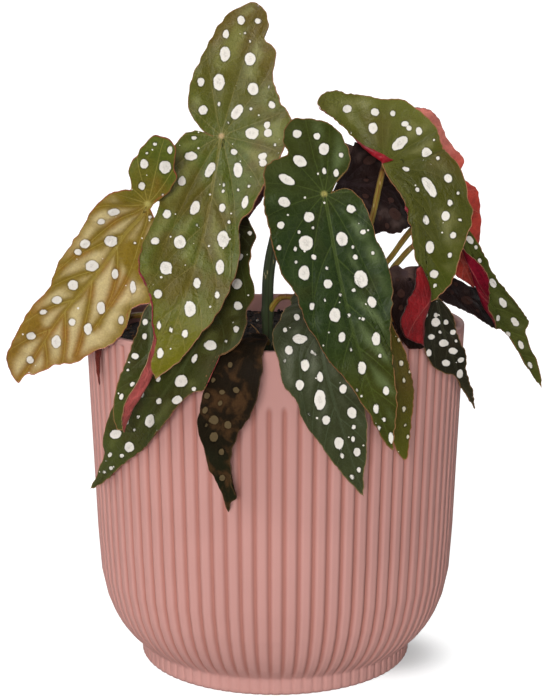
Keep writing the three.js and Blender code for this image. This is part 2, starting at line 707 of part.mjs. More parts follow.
// A cane stands in the soil along `path`.  Each stalk leaves it at its first point and ends under
// the navel of its leaf.
const CANES = [
  {
    name: 'cane_front',
    path: [[-2.5, -30, CANE_FOOT], [-2.5, -30, 120], [-2.5, -30, 145], [0, -29, 160], [4, -28, 172],
      [5, -27, 181]],
    stalks: {
      leaf_tall_left: [[5, -27, 179], [-1, -27, 186], [-10, -31, 194]],
      leaf_centre_green: [[4, -28, 171], [8, -36, 176]],
      leaf_low_front: [[-2.5, -30, 134], [2, -35, 140], [8, -44, 140.5]],
      leaf_old_hanging: [[-2.5, -30, 123], [-4, -38, 126], [-6, -52, 127]],
    },
  },
  {
    name: 'cane_left',
    path: [[-17, -12, CANE_FOOT], [-17, -12, 120], [-18, -13, 140], [-20, -12, 158],
      [-19, -8, 168]],
    stalks: {
      leaf_left_olive: [[-20, -12, 157], [-27, -24, 168], [-36, -42, 174]],
      leaf_low_left: [[-18, -13, 144], [-17, -22, 156]],
      leaf_narrow_left: [[-17, -12, 128], [-26, -28, 138], [-35, -44, 143]],
      leaf_young_red: [[-17, -12, 124], [-34, -20, 131], [-50, -31, 133], [-57, -36, 130]],
      leaf_rear_left: [[-19, -8, 166], [-18, 4, 176]],
    },
  },
  {
    name: 'cane_right',
    path: [[22, -18, CANE_FOOT], [22, -18, 120], [23, -18, 138], [25, -17, 152]],
    stalks: {
      leaf_right_olive: [[25, -17, 150], [30, -31.5, 156], [33.5, -35.5, 168], [35.8, -36, 179]],
      leaf_shaded_middle: [[25, -17, 151], [26, -16, 163]],
      leaf_right_behind: [[23, -18, 138], [34, -18, 144], [41, -17, 151.5], [48, -17, 161]],
      leaf_right_hanging: [[22.5, -18, 133], [36, -19, 140.5], [43.5, -18.5, 150], [52, -18, 158]],
      leaf_red_fold: [[22.5, -18, 130], [33, -26, 137], [41, -40, 143], [44, -49, 146]],
      leaf_small_right: [[22, -18, 126], [36, -24, 134], [48, -30, 138]],
      leaf_dark_point: [[22, -18, 128], [40, -16, 137], [50, -17, 140]],
      leaf_olive_brown: [[22, -18, 124], [28, -36, 131], [33, -55, 134.5]],
      leaf_rear_right: [[25, -17, 149], [23, -4, 156]],
    },
  },
];

const APPROACH = 4;

function tube(points, radius, sides, steps) {
  const section = new THREE.Shape();
  for (let side = 0; side < sides; side += 1) {
    const angle = (side / sides) * 2 * Math.PI;
    const at = [radius * Math.cos(angle), radius * Math.sin(angle)];
    if (side === 0) {
      section.moveTo(...at);
    } else {
      section.lineTo(...at);
    }
  }
  return new THREE.ExtrudeGeometry(section, { steps, extrudePath: curveThrough(points) });
}

function stalkSolid(leafName, via) {
  const blade = BLADES.get(leafName);
  const ends = [blade.under(BLADE_CLEARANCE + APPROACH), blade.under(BLADE_CLEARANCE)];
  const points = [...via.map(vector), ...ends];
  return toSolid(tube(points, STALK_RADIUS, STALK_SIDES, 2 * points.length));
}

function caneGeometry(cane) {
  const stem = toSolid(tube(cane.path.map(vector), CANE_RADIUS, CANE_SIDES, CANE_STEPS));
  const body = Object.entries(cane.stalks).reduce(
    (solid, [leafName, via]) => solid.add(stalkSolid(leafName, via)),
    stem,
  );
  return fromSolid(body);
}

// ---- Assembly -------------------------------------------------------------------------------

const plant = new THREE.Group();
plant.add(named('pot', potGeometry(), FINISHES.pot()));
plant.add(named('soil', soilGeometry(CANES), FINISHES.soil()));
CANES.forEach((cane) => plant.add(named(cane.name, caneGeometry(cane), FINISHES.cane())));
LEAVES.forEach((leaf) => {
  plant.add(named(leaf.name, bladeGeometry(leaf, BLADES.get(leaf.name)), FINISHES[leaf.finish]()));
});

export default plant;
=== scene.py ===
"""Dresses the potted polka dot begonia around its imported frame.

Every length inside the classes is in millimetres in the part's own frame: the origin is the
middle of the pot's base, +Z is up and the viewer stands at -Y.  Meshes are scaled to metres only
when they are handed to Blender.
"""

import json
import logging
import math
from collections.abc import Sequence
from dataclasses import dataclass, field, replace
from enum import Enum, IntEnum

import bpy
import numpy as np
from numpy.typing import NDArray
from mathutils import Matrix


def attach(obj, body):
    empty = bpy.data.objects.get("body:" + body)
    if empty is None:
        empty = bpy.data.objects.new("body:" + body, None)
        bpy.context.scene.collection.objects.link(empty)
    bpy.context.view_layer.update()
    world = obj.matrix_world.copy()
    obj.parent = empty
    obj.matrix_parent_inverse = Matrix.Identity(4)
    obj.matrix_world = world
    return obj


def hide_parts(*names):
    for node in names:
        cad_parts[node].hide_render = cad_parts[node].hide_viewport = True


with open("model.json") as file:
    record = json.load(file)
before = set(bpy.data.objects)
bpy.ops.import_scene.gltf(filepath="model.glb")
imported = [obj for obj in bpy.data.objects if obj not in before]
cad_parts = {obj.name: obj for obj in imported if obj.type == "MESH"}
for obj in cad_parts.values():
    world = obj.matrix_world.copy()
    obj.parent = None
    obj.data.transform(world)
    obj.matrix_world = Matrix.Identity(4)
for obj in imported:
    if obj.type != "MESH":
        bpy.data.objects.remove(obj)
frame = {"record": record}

Array = NDArray[np.float64]
Material = bpy.types.Material
Piece = bpy.types.Object
Socket = bpy.types.NodeSocket
Input = Socket | float | str
Pair = tuple[float, float]
Triple = tuple[float, float, float]

LOG = logging.getLogger("begonia")
MILLIMETRE = 0.001
BODY = "root"
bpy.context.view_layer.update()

CURVE_STEPS = 40
WAVE_LENGTHS = (0.6, 1.7)
WAVE_HEIGHT = 0.6
FIRST_SIDE = (0.3, -1.0, 0.2)


# ---- Curves and waves ----


def smooth_curve(points: Sequence[Sequence[float]], places: Array) -> Array:
    """Runs a Catmull-Rom curve through points.

    Each stretch is the cubic whose slope at a point is half the step from the point before to
    the point after; past either end the points are mirrored.

    Args:
        points: The points that the curve runs through.
        places: Places from 0, the first point, to 1, the last one.

    Returns:
        One row for each place.
    """
    knots = np.asarray(points, dtype=float)
    padded = np.vstack([2 * knots[0] - knots[1], knots, 2 * knots[-1] - knots[-2]])
    along = np.clip(places, 0.0, 1.0) * (len(knots) - 1)
    stretch = np.minimum(along.astype(int), len(knots) - 2)
    part = (along - stretch)[:, None]
    before, start, end, after = (padded[stretch + step] for step in range(4))
    leaving, arriving = (end - before) / 2, (after - start) / 2
    square = -3 * start + 3 * end - 2 * leaving - arriving
    cube = 2 * start - 2 * end + leaving + arriving
    return start + leaving * part + square * part**2 + cube * part**3


def even_curve(points: Sequence[Sequence[float]], count: int) -> Array:
    """Spaces points evenly by length on the curve through points.

    Args:
        points: The points that the curve runs through.
        count: How many points to place, the first at the start and none at the end.

    Returns:
        The evenly spaced points.
    """
    fine = smooth_curve(points, np.linspace(0, 1, CURVE_STEPS * len(points)))
    length = run_length(fine)
    wanted = np.arange(count) / count * length[-1]
    return np.stack([np.interp(wanted, length, axis) for axis in fine.T], axis=1)


def run_length(points: Array) -> Array:
    """The length of the polyline from its first point to each point."""
    steps = np.linalg.norm(np.diff(points, axis=0), axis=1)
    return np.concatenate([[0.0], np.cumsum(steps)])


def unit(vectors: Array) -> Array:
    """Each vector at length 1."""
    return vectors / np.linalg.norm(vectors, axis=-1, keepdims=True)


def nearest(points: Array, place: Sequence[float]) -> int:
    """The number of the point that lies nearest to a place."""
    return int(np.linalg.norm(points - np.array(place), axis=1).argmin())


def around(count: int) -> Array:
    """Even angles round a full turn."""
    return np.arange(count) / count * math.tau


def circle(count: int) -> Array:
    """Even places round a circle of radius 1."""
    return np.stack([np.cos(around(count)), np.sin(around(count))], axis=1)


def rotation(angle: float) -> Array:
    """The matrix that turns flat points anticlockwise."""
    cosine, sine = math.cos(angle), math.sin(angle)
    return np.array([[cosine, -sine], [sine, cosine]])


def smooth_step(value: Array, low: float, high: float) -> Array:
    """Rises from 0 at low to 1 at high along 3t^2 - 2t^3."""
    part = np.clip((value - low) / (high - low), 0.0, 1.0)
    return part * part * (3 - 2 * part)


def carried(heading: Array, order: Sequence[int], first: Sequence[float]) -> Array:
    """Carries a direction along a path without twist.

    At each point the direction from the last one is made square to the path again.

    Args:
        heading: The path's direction at each point.
        order: The points in the order in which they are visited.
        first: The direction to start from.

    Returns:
        One direction for each point, and zeros where none was visited.
    """
    directions = np.zeros_like(heading)
    current = np.array(first, dtype=float)
    for place in order:
        current = current - (current @ heading[place]) * heading[place]
        current /= np.linalg.norm(current)
        directions[place] = current
    return directions


def waves(points: Array, size: float, seed: int, count: int = 9) -> Array:
    """Adds up plane waves of mixed direction, for a soft uneven height between about -1 and 1.

    Args:
        points: Where the height is wanted, one row for each point.
        size: The wavelength of the middling wave.
        seed: Picks the directions, wavelengths and phases.
        count: How many waves are added.

    Returns:
        One height for each point.
    """
    rng = np.random.default_rng(seed)
    directions = unit(rng.normal(size=(count, points.shape[1])))
    lengths = size * rng.uniform(*WAVE_LENGTHS, count)
    phases = rng.uniform(0, math.tau, count)
    angles = math.tau * (points @ directions.T) / lengths + phases
    return np.sin(angles).sum(axis=1) * math.sqrt(2 / count) * WAVE_HEIGHT


# ---- Meshes ----


@dataclass
class Surface:
    """A mesh in the making: points in millimetres, faces by corner count, and marks on points."""

    points: Array
    faces: list[Array] = field(default_factory=list)
    finishes: list[int] = field(default_factory=list)
    marks: dict[str, Array] = field(default_factory=dict)

    def add(self, faces: Array, finish: int = 0) -> None:
        """Adds faces that all have one corner count, in one of the piece's materials."""
        self.faces.append(faces)
        self.finishes.append(finish)

    def to_piece(self, name: str, materials: Sequence[Material], slot: str,
                 nodes: Sequence[str] = ()) -> Piece:
        """Makes the Blender object, lets it ride on the body and hides the frame's solids that it replaces.

        Args:
            name: The piece's name.
            materials: The materials that the faces' finish numbers point to.
            slot: The record's material slot; not used.
            nodes: The solids of the frame that the piece replaces.

        Returns:
            The new object, with its place in its mesh.
        """
        mesh = bpy.data.meshes.new(name)
        corners = np.concatenate([faces.ravel() for faces in self.faces]).astype(np.int32)
        totals = np.concatenate([np.full(len(f), f.shape[1]) for f in self.faces]).astype(np.int32)
        starts = np.concatenate([[0], np.cumsum(totals)[:-1]]).astype(np.int32)
        kinds = [np.full(len(f), k) for f, k in zip(self.faces, self.finishes)]
        mesh.vertices.add(len(self.points))
        mesh.vertices.foreach_set("co", (self.points * MILLIMETRE).astype(np.float32).ravel())
        mesh.loops.add(len(corners))
        mesh.loops.foreach_set("vertex_index", corners)
        mesh.polygons.add(len(totals))
        mesh.polygons.foreach_set("loop_start", starts)
        mesh.polygons.foreach_set("material_index", np.concatenate(kinds).astype(np.int32))
        mesh.update(calc_edges=True)
        mesh.polygons.foreach_set("use_smooth", np.ones(len(totals), dtype=bool))
        for label, values in self.marks.items():
            layer = mesh.attributes.new(label, "FLOAT_VECTOR", "POINT")
            layer.data.foreach_set("vector", values.astype(np.float32).ravel())
        for material in materials:
            mesh.materials.append(material)
        mesh.validate()
        piece = bpy.data.objects.new(name, mesh)
        bpy.context.scene.collection.objects.link(piece)
        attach(piece, BODY)
        if nodes:
            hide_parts(*nodes)
        LOG.info("%s: %d points, %d faces", name, len(self.points), len(totals))
        return piece


def ring_bands(first: int, rings: int, count: int, turned: bool = False) -> Array:
    """Joins stacked closed rings with four-cornered faces.

    Args:
        first: The index of the first ring's first point.
        rings: How many rings follow each other.
        count: The points in each ring.
        turned: Whether the faces look the other way.

    Returns:
        The faces, four corners each.
    """
    ring, place = np.meshgrid(np.arange(rings - 1), np.arange(count), indexing="ij")
    here = first + ring * count + place
    beside = first + ring * count + (place + 1) % count
    faces = np.stack([here, beside, beside + count, here + count], axis=-1).reshape(-1, 4)
    return faces[:, ::-1] if turned else faces


def fan(centre: int, first: int, count: int, turned: bool = False) -> Array:
    """Joins a closed ring to one point with triangles."""
    place = np.arange(count)
    faces = np.stack([np.full(count, centre), first + place, first + (place + 1) % count], axis=1)
    return faces[:, ::-1] if turned else faces


def tube(path: Array, radii: Array, sides: int, first: int = 0) -> Surface:
    """Carries a round section along a path, closed at both ends.

    Args:
        path: The points of the centre line.
        radii: The radius at each point.
        sides: The sides of the section.
        first: The index that the tube's first point will have.

    Returns:
        The tube with the mark `along`: length from the start, the angle round and the radius.
    """
    heading = unit(np.gradient(path, axis=0))
    side = carried(heading, range(len(path)), FIRST_SIDE)
    across = np.cross(heading, side)
    cosine, sine = circle(sides).T[:, None, :, None]
    ring = cosine * side[:, None] + sine * across[:, None]
    body = (path[:, None] + radii[:, None, None] * ring).reshape(-1, 3)
    points = np.vstack([body, path[:1], path[-1:]])
    surface = Surface(points)
    last = first + len(body)
    surface.add(ring_bands(first, len(path), sides))
    surface.add(fan(last, first, sides, turned=True))
    surface.add(fan(last + 1, last - sides, sides))
    length = np.repeat(run_length(path), sides)
    angle = np.tile(around(sides), len(path))
    along = np.stack([length, angle, np.repeat(radii, sides)], axis=1)
    ends = np.array([[0.0, 0.0, radii[0]], [length[-1], 0.0, radii[-1]]])
    surface.marks["along"] = np.vstack([along, ends])
    return surface


def joined(surfaces: Sequence[Surface]) -> Surface:
    """Puts surfaces into one; each must already count its points on from the one before."""
    whole = Surface(np.vstack([surface.points for surface in surfaces]))
    for surface in surfaces:
        for faces, finish in zip(surface.faces, surface.finishes):
            whole.add(faces, finish)
    for label in surfaces[0].marks:
        whole.marks[label] = np.vstack([surface.marks[label] for surface in surfaces])
    return whole


# ---- Camera ----


@dataclass(frozen=True)
class PhotoCamera:
    """The camera at the photograph's viewing angle, level from side to side."""

    position: Triple = (0.65, -560.0, 213.5)
    pitch: float = 9.87
    focal_pixels: float = 1520.0
    width: int = 554
    height: int = 696
    sensor: float = 36.0
    clip: Pair = (0.05, 100.0)

    def pixels(self, points: Array) -> Array:
        """Where points fall in the picture: offsets over depth, times the focal length.

        Args:
            points: Points in millimetres.

        Returns:
            Picture x and y, y downwards.
        """
        right, forward, up = (points - np.array(self.position)).T
        tilt = math.radians(self.pitch)
        depth = forward * math.cos(tilt) - up * math.sin(tilt)
        rise = forward * math.sin(tilt) + up * math.cos(tilt)
        across = self.width / 2 + self.focal_pixels * right / depth
        down = self.height / 2 - self.focal_pixels * rise / depth
        return np.stack([across, down], axis=-1)

    def place(self) -> None:
        """Makes Blender's camera."""
        data = bpy.data.cameras.new("camera")
        data.sensor_width = self.sensor
        data.lens = self.focal_pixels / self.height * self.sensor
        data.clip_start, data.clip_end = self.clip
        camera = bpy.data.objects.new("camera", data)
        camera.location = [MILLIMETRE * value for value in self.position]
        camera.rotation_euler = (math.radians(90.0 - self.pitch), 0.0, 0.0)
        bpy.context.scene.collection.objects.link(camera)
        bpy.context.scene.camera = camera


CAMERA = PhotoCamera()


# ---- Finishes ----


def tint(code: str) -> tuple[float, float, float, float]:
    """Turns a hex colour into the linear colour that shaders take."""
    parts = [int(code[start:start + 2], 16) / 255 for start in (1, 3, 5)]
    linear = [p / 12.92 if p <= 0.04045 else ((p + 0.055) / 1.055) ** 2.4 for p in parts]
    return (*linear, 1.0)


class Cells(Enum):
    """Which distance cells give: that to the nearest middle, or to the nearest edge."""

    MIDDLE = "F1"
    EDGE = "DISTANCE_TO_EDGE"


class Sketch:
    """A material's node tree, with one short call for each kind of node used here."""

    def __init__(self, name: str, roughness: float, gloss: float = 0.5) -> None:
        """Starts a material.

        Args:
            name: The material's name.
            roughness: The roughness where nothing else feeds it.
            gloss: The specular level, the same all over.
        """
        self.material = bpy.data.materials.new(name)
        self.material.use_nodes = True
        self.nodes = self.material.node_tree.nodes
        self.links = self.material.node_tree.links
        self.shader = self.nodes["Principled BSDF"]
        self.shader.inputs["Roughness"].default_value = roughness
        self.shader.inputs["Specular IOR Level"].default_value = gloss

    def feed(self, socket: Socket, value: Input) -> None:
        """Links a socket, or sets it to a number or a hex colour."""
        if isinstance(value, Socket):
            self.links.new(value, socket)
        else:
            socket.default_value = tint(value) if isinstance(value, str) else value

    def finish(self, label: str, value: Input) -> None:
        """Feeds one input of the shader."""
        self.feed(self.shader.inputs[label], value)

    def mark(self, label: str) -> Socket:
        """Reads a mark that the mesh carries on its points."""
        node = self.nodes.new("ShaderNodeAttribute")
        node.attribute_name = label
        return node.outputs["Vector"]

    def split(self, vector: Socket) -> list[Socket]:
        """The three parts of a vector."""
        node = self.nodes.new("ShaderNodeSeparateXYZ")
        self.links.new(vector, node.inputs[0])
        return list(node.outputs)

    def place(self, scale: Triple = (1.0, 1.0, 1.0)) -> Socket:
        """The point on the object in millimetres, stretched by a scale along each axis."""
        coordinates = self.nodes.new("ShaderNodeTexCoord")
        mapping = self.nodes.new("ShaderNodeMapping")
        mapping.inputs["Scale"].default_value = [part / MILLIMETRE for part in scale]
        self.links.new(coordinates.outputs["Object"], mapping.inputs["Vector"])
        return mapping.outputs["Vector"]

    def noise(self, points: Socket, size: float, detail: float = 2.0,
              distortion: float = 0.0) -> Socket:
        """Cloudy noise around 0.5.

        Args:
            points: Where it is read, in millimetres.
            size: How wide its patches are, in millimetres.
            detail: How many finer layers it has.
            distortion: How far it is stirred.

        Returns:
            The noise.
        """
        node = self.nodes.new("ShaderNodeTexNoise")
        node.inputs["Scale"].default_value = 1.0 / size
        node.inputs["Detail"].default_value = detail
        node.inputs["Distortion"].default_value = distortion
        self.links.new(points, node.inputs["Vector"])
        return node.outputs["Fac"]

    def cells(self, points: Socket, size: float,
              kind: Cells = Cells.MIDDLE) -> tuple[Socket, Socket | None]:
        """Random cells.

        Args:
            points: Where they are read, in millimetres.
            size: How wide they are, in millimetres.
            kind: Which distance is given.

        Returns:
            The distance, and a random colour for each cell where there is one.
        """
        node = self.nodes.new("ShaderNodeTexVoronoi")
        node.feature = kind.value
        node.inputs["Scale"].default_value = 1.0 / size
        self.links.new(points, node.inputs["Vector"])
        return node.outputs["Distance"], None if kind is Cells.EDGE else node.outputs["Color"]

    def math(self, operation: str, *values: Input) -> Socket:
        """One step of arithmetic."""
        node = self.nodes.new("ShaderNodeMath")
        node.operation = operation
        for socket, value in zip(node.inputs, values):
            self.feed(socket, value)
        return node.outputs[0]

    def times(self, *values: Input) -> Socket:
        """One number times another."""
        return self.math("MULTIPLY", *values)

    def rise(self, value: Input, low: float, high: float, start: float = 0.0,
             end: float = 1.0) -> Socket:
        """Goes smoothly from one number to another along 3t^2 - 2t^3.

        Args:
            value: What is followed.
            low: Where the rise begins, or the fall.
            high: Where it ends.
            start: The number up to low.
            end: The number from high on.

        Returns:
            The number between them.
        """
        node = self.nodes.new("ShaderNodeMapRange")
        node.interpolation_type = "SMOOTHSTEP"
        ends = {"Value": value, "From Min": low, "From Max": high, "To Min": start, "To Max": end}
        for label, amount in ends.items():
            self.feed(node.inputs[label], amount)
        return node.outputs["Result"]

    def mix(self, factor: Input, first: Input, second: Input) -> Socket:
        """Blends two colours.

        Args:
            factor: 0 gives the first colour and 1 the second.
            first: A colour.
            second: Another colour.

        Returns:
            The blend.
        """
        node = self.nodes.new("ShaderNodeMix")
        node.data_type = "RGBA"
        colours = [socket for socket in node.inputs if socket.type == "RGBA"]
        self.feed(node.inputs["Factor"], factor)
        self.feed(colours[0], first)
        self.feed(colours[1], second)
        return next(socket for socket in node.outputs if socket.type == "RGBA")

    def shade(self, colour: Input, amount: Socket) -> Socket:
        """Makes a colour lighter or darker by a factor around 1."""
        node = self.nodes.new("ShaderNodeVectorMath")
        node.operation = "SCALE"
        if isinstance(colour, str):
            node.inputs[0].default_value = tint(colour)[:3]
        else:
            self.links.new(colour, node.inputs[0])
        self.links.new(amount, node.inputs["Scale"])
        return node.outputs[0]

    def speckled(self, points: Socket, size: float, detail: float, low: float,
                 high: float) -> Socket:
        """A factor that drifts between low and high in patches about size millimetres across."""
        return self.rise(self.noise(points, size, detail), 0.3, 0.7, low, high)

    def relief(self, height: Socket, depth: float) -> None:
        """Bumps the surface by a height from 0 to 1 that stands for depth millimetres."""
        node = self.nodes.new("ShaderNodeBump")
        node.inputs["Distance"].default_value = depth * MILLIMETRE
        self.links.new(height, node.inputs["Height"])
        self.links.new(node.outputs["Normal"], self.shader.inputs["Normal"])


@dataclass(frozen=True)
class LeafFinish:
    """The colours of one blade, as hex codes, its painted sheen, and how it shines."""

    lobe: str
    middle: str
    tip: str
    blush: str
    vein: str
    under: str
    dot: str = "#cbc5bc"
    dot_core: str = "#aea79e"
    margin: str = "#8a5a3c"
    vein_strength: float = 0.2
    blush_share: float = 0.55
    speckle: float = 0.62
    roughness: float = 0.4
    gloss: float = 0.22
    patch: float = 17.0
    # the underside's colour towards the lobe, where it differs: painted light on the lit upper part
    under_lobe_painted_light: str = ""
    under_vein: str = "#b87468"
    star: str = "#a59a58"
    star_share: float = 0.75
    # painted sheen: a pale painted highlight laid into the colour where the skin would catch the light
    painted_sheen: str = "#666a44"
    painted_sheen_share: float = 0.35
    painted_sheen_vein: Pair = (0.6, 3.6)
    painted_sheen_cloud: Pair = (0.46, 0.62)
    painted_sheen_size: float = 13.0
    painted_sheen_side: float = 0.0
    painted_sheen_lobe: float = 1.0
    vein_line: Pair = (0.1, 0.42)
    midrib_gap: float = 0.4
    midrib_line: Pair = (0.04, 0.24)
    midrib_strength: Pair = (0.36, 0.06)
    net_size: float = 2.6
    margin_line: Pair = (0.12, 0.42)
    star_reach: Pair = (0.35, 1.5)
    relief_depth: float = 0.16


class BladeSketch(Sketch):
    """A material that reads a blade's marks: flat places, veins, spots and margin."""

    def __init__(self, name: str, roughness: float, gloss: float) -> None:
        """Starts the material and reads the marks."""
        super().__init__(name, roughness, gloss)
        self.flat = self.mark("flat")
        self.along, self.across, _ = self.split(self.flat)
        self.vein, self.near_vein, self.dot = self.split(self.mark("pattern"))
        self.edge, self.navel, _ = self.split(self.mark("reach"))

    def vein_gap(self) -> Socket:
        """The tapered distance to a vein, kept from falling to 0 halfway between two veins."""
        far = self.math("SUBTRACT", self.near_vein, 1.2)
        return self.math("MAXIMUM", self.math("ABSOLUTE", self.vein), far)


class UpperSkin(BladeSketch):
    """The upper skin: mottled green with a painted sheen and painted crease shade, pale veins, ringed spots
    and a thin red-brown margin.
    """

    def __init__(self, name: str, look: LeafFinish, lobe: float, length: float) -> None:
        """Lays the colours over each other and feeds the shader.

        Args:
            name: The leaf's name.
            look: The leaf's finish.
            lobe: Millimetres from the navel back to the lobe's end.
            length: Millimetres from the navel to the tip.
        """
        super().__init__(name + "_upper", look.roughness, look.gloss)
        self.look = look
        # mixes in the painted sheen, a pale painted highlight
        colour = self.mix(self._painted_sheen(), self._ground(lobe, length), look.painted_sheen)
        # painted crease shade: a little darker in the grooves along the veins, a little lighter on the
        # panels between them
        painted_crease_shade = self.rise(self.near_vein, 0.0, 4.5, 0.93, 1.03)
        grain = self.speckled(self.flat, 0.55, 3.0, 0.9, 1.1)
        colour = self.shade(colour, self.times(painted_crease_shade, grain))
        net = self.cells(self.flat, look.net_size, Cells.EDGE)[0]
        colour = self.mix(self.rise(net, 0.0, 0.12, 0.05, 0.0), colour, look.vein)
        colour = self._veins(colour, length)
        colour = self.mix(self.rise(self.navel, *look.star_reach, look.star_share, 0.0), colour,
                          look.star)
        colour, pale = self._spots(colour)
        colour = self.mix(self.rise(self.edge, *look.margin_line, 0.9, 0.0), colour, look.margin)
        self.finish("Base Color", colour)
        rough = self.rise(self.noise(self.flat, 6.0), 0.35, 0.65, look.roughness - 0.06,
                          look.roughness + 0.08)
        self.finish("Roughness", self.math("MULTIPLY_ADD", pale, 0.08, rough))
        self.relief(self.math("MULTIPLY_ADD", self.rise(net, 0.0, 0.3), 0.45,
                              self.noise(self.flat, 0.5)), look.relief_depth)

    def _ground(self, lobe: float, length: float) -> Socket:
        """The green below everything: it drifts from lobe to tip, with blushed patches.

        Args:
            lobe: Millimetres from the navel back to the lobe's end.
            length: Millimetres from the navel to the tip.

        Returns:
            The colour.
        """
        look = self.look
        drift = self.math("MULTIPLY_ADD", self.noise(self.flat, 14.0), 30.0, -15.0)
        along = self.math("ADD", self.along, drift)
        colour = self.mix(self.rise(along, -0.9 * lobe, 0.15 * length), look.lobe, look.middle)
        colour = self.mix(self.rise(along, 0.45 * length, 0.95 * length), colour, look.tip)
        cloud = self.noise(self.flat, look.patch, 3.0, 0.4)
        return self.mix(self.rise(cloud, 0.47, 0.68, 0.0, look.blush_share), colour, look.blush)

    def _painted_sheen(self) -> Socket:
        """How much painted sheen shows: a pale painted highlight between the veins, in broad clouds."""
        look = self.look
        clouds = self.rise(self.noise(self.flat, look.painted_sheen_size), *look.painted_sheen_cloud)
        share = self.times(self.rise(self.near_vein, *look.painted_sheen_vein), clouds)
        share = self.times(share, self.rise(self.edge, 0.4, 3.2, 0.25, 1.0))
        # one half of the blade gets more painted sheen: painted light on the side that faces the lamps
        if look.painted_sheen_side:
            toward = self.times(self.across, look.painted_sheen_side)
            share = self.times(share, self.rise(toward, -3.0, 7.0, 0.1, 1.0))
        if look.painted_sheen_lobe < 1:
            share = self.times(share, self.rise(self.along, -1.0, 8.0, look.painted_sheen_lobe, 1.0))
        return self.times(share, look.painted_sheen_share)

    def _veins(self, colour: Socket, length: float) -> Socket:
        """Draws the fine vein lines, and the midrib as a pair of lines that fade to the tip.

        Args:
            colour: The colour below.
            length: Millimetres from the navel to the tip.

        Returns:
            The new colour.
        """
        look = self.look
        line = self.rise(self.vein_gap(), *look.vein_line, look.vein_strength, 0.0)
        beside = self.math("SUBTRACT", self.math("ABSOLUTE", self.across), look.midrib_gap)
        pair = self.rise(self.math("ABSOLUTE", beside), *look.midrib_line, 1.0, 0.0)
        fading = self.rise(self.along, 0.0, 0.8 * length, *look.midrib_strength)
        midrib = self.times(self.times(fading, pair), self.rise(self.along, -0.5, 1.0))
        return self.mix(midrib, self.mix(line, colour, look.vein), look.vein)

    def _spots(self, colour: Socket) -> tuple[Socket, Socket]:
        """Lays the spots and the fine speckle over a colour.

        Args:
            colour: The colour below.

        Returns:
            The new colour, and how much of it is spot.
        """
        look = self.look
        wobble = self.math("MULTIPLY_ADD", self.noise(self.flat, 1.6), 0.9, -0.45)
        distance = self.math("ADD", self.dot, wobble)
        colour = self.shade(colour, self.rise(distance, 0.1, 0.75, 0.62, 1.0))
        core = self.rise(self.math("ADD", distance, self.noise(self.flat, 0.5)), -1.6, -0.2)
        mottle = self.mix(self.rise(self.noise(self.flat, 0.7, 3.0), 0.35, 0.65), look.dot_core,
                          look.dot)
        inside = self.rise(distance, -0.14, 0.16, 1.0, 0.0)
        colour = self.mix(inside, colour, self.mix(core, mottle, look.dot))
        speck, chance = self.cells(self.flat, 3.1)
        lot, other_lot, _ = self.split(chance)
        kept = self.rise(lot, look.speckle, look.speckle + 0.02)
        size = self.rise(other_lot, 0.0, 1.0, 0.05, 0.13)
        fine = self.times(self.math("LESS_THAN", speck, size), kept)
        return self.mix(fine, colour, look.dot), self.math("MAXIMUM", inside, fine)


class LowerSkin(BladeSketch):
    """The underside: wine red, mottled, with paler raised veins."""

    def __init__(self, name: str, look: LeafFinish) -> None:
        """Lays the colours over each other and feeds the shader."""
        super().__init__(name + "_lower", 0.45, 0.25)
        # the underside drifts from the lobe's colour to the tip's; a separate lobe colour is painted light
        # from above
        toward_tip = self.rise(self.along, -22.0, -4.0)
        colour = self.mix(toward_tip, look.under_lobe_painted_light or look.under, look.under)
        colour = self.shade(colour, self.speckled(self.flat, 6.0, 4.0, 0.7, 1.2))
        line = self.rise(self.vein_gap(), 0.15, 0.7, 0.22, 0.0)
        colour = self.mix(line, colour, look.under_vein)
        net = self.cells(self.flat, 2.2, Cells.EDGE)[0]
        colour = self.shade(colour, self.rise(net, 0.0, 0.16, 1.18, 1.0))
        self.finish("Base Color", colour)
        bumps = self.math("ADD", self.rise(net, 0.0, 0.3, 0.5, 0.0), self.noise(self.flat, 0.6))
        self.relief(bumps, 0.18)


class RimSkin(Sketch):
    """The thin edge between the two skins."""

    def __init__(self, name: str, look: LeafFinish) -> None:
        """Gives the margin's colour a slow drift."""
        super().__init__(name + "_rim", 0.5, 0.4)
        shade = self.rise(self.noise(self.mark("flat"), 5.0), 0.35, 0.65, 0.75, 1.2)
        self.finish("Base Color", self.shade(look.margin, shade))


OLIVE = LeafFinish(lobe="#4f4716", middle="#424a10", tip="#5b5710", blush="#523e12",
                   vein="#8c7c42", under="#6e1a20", gloss=0.15, star="#a88c66",
                   painted_sheen="#787a42", painted_sheen_share=0.4)
YOUNG = LeafFinish(lobe="#474f0a", middle="#705a10", tip="#7a5816", blush="#845218",
                   vein="#a8984e", vein_strength=0.3, under="#8c2a30", margin="#8c3a26",
                   roughness=0.34, gloss=0.5, painted_sheen="#b9a87a", painted_sheen_share=0.78,
                   painted_sheen_cloud=(0.36, 0.56), painted_sheen_size=16.0, painted_sheen_vein=(0.2, 2.8),
                   painted_sheen_lobe=0.0)
# GREEN's painted sheen leans to one half of the blade, as painted light from that side
GREEN = LeafFinish(lobe="#2f340f", middle="#1c290b", tip="#383b0e", blush="#2a2b0a",
                   vein="#5c6a30", under="#6c1020", margin="#7d5534", gloss=0.1,
                   painted_sheen="#5a6640", painted_sheen_share=0.75, painted_sheen_cloud=(0.3, 0.6), painted_sheen_side=1.0)
PALER = replace(GREEN, lobe="#40431a", middle="#3c4018", tip="#46481e", painted_sheen="#5f633a",
                painted_sheen_side=0.0, painted_sheen_share=0.5)
RIPE = LeafFinish(lobe="#50511c", middle="#3a3b0c", tip="#3c4210", blush="#463a10",
                  vein="#66652a", under="#74101a", gloss=0.15, painted_sheen="#6e6c3e",
                  painted_sheen_share=0.5, star_share=0.0)
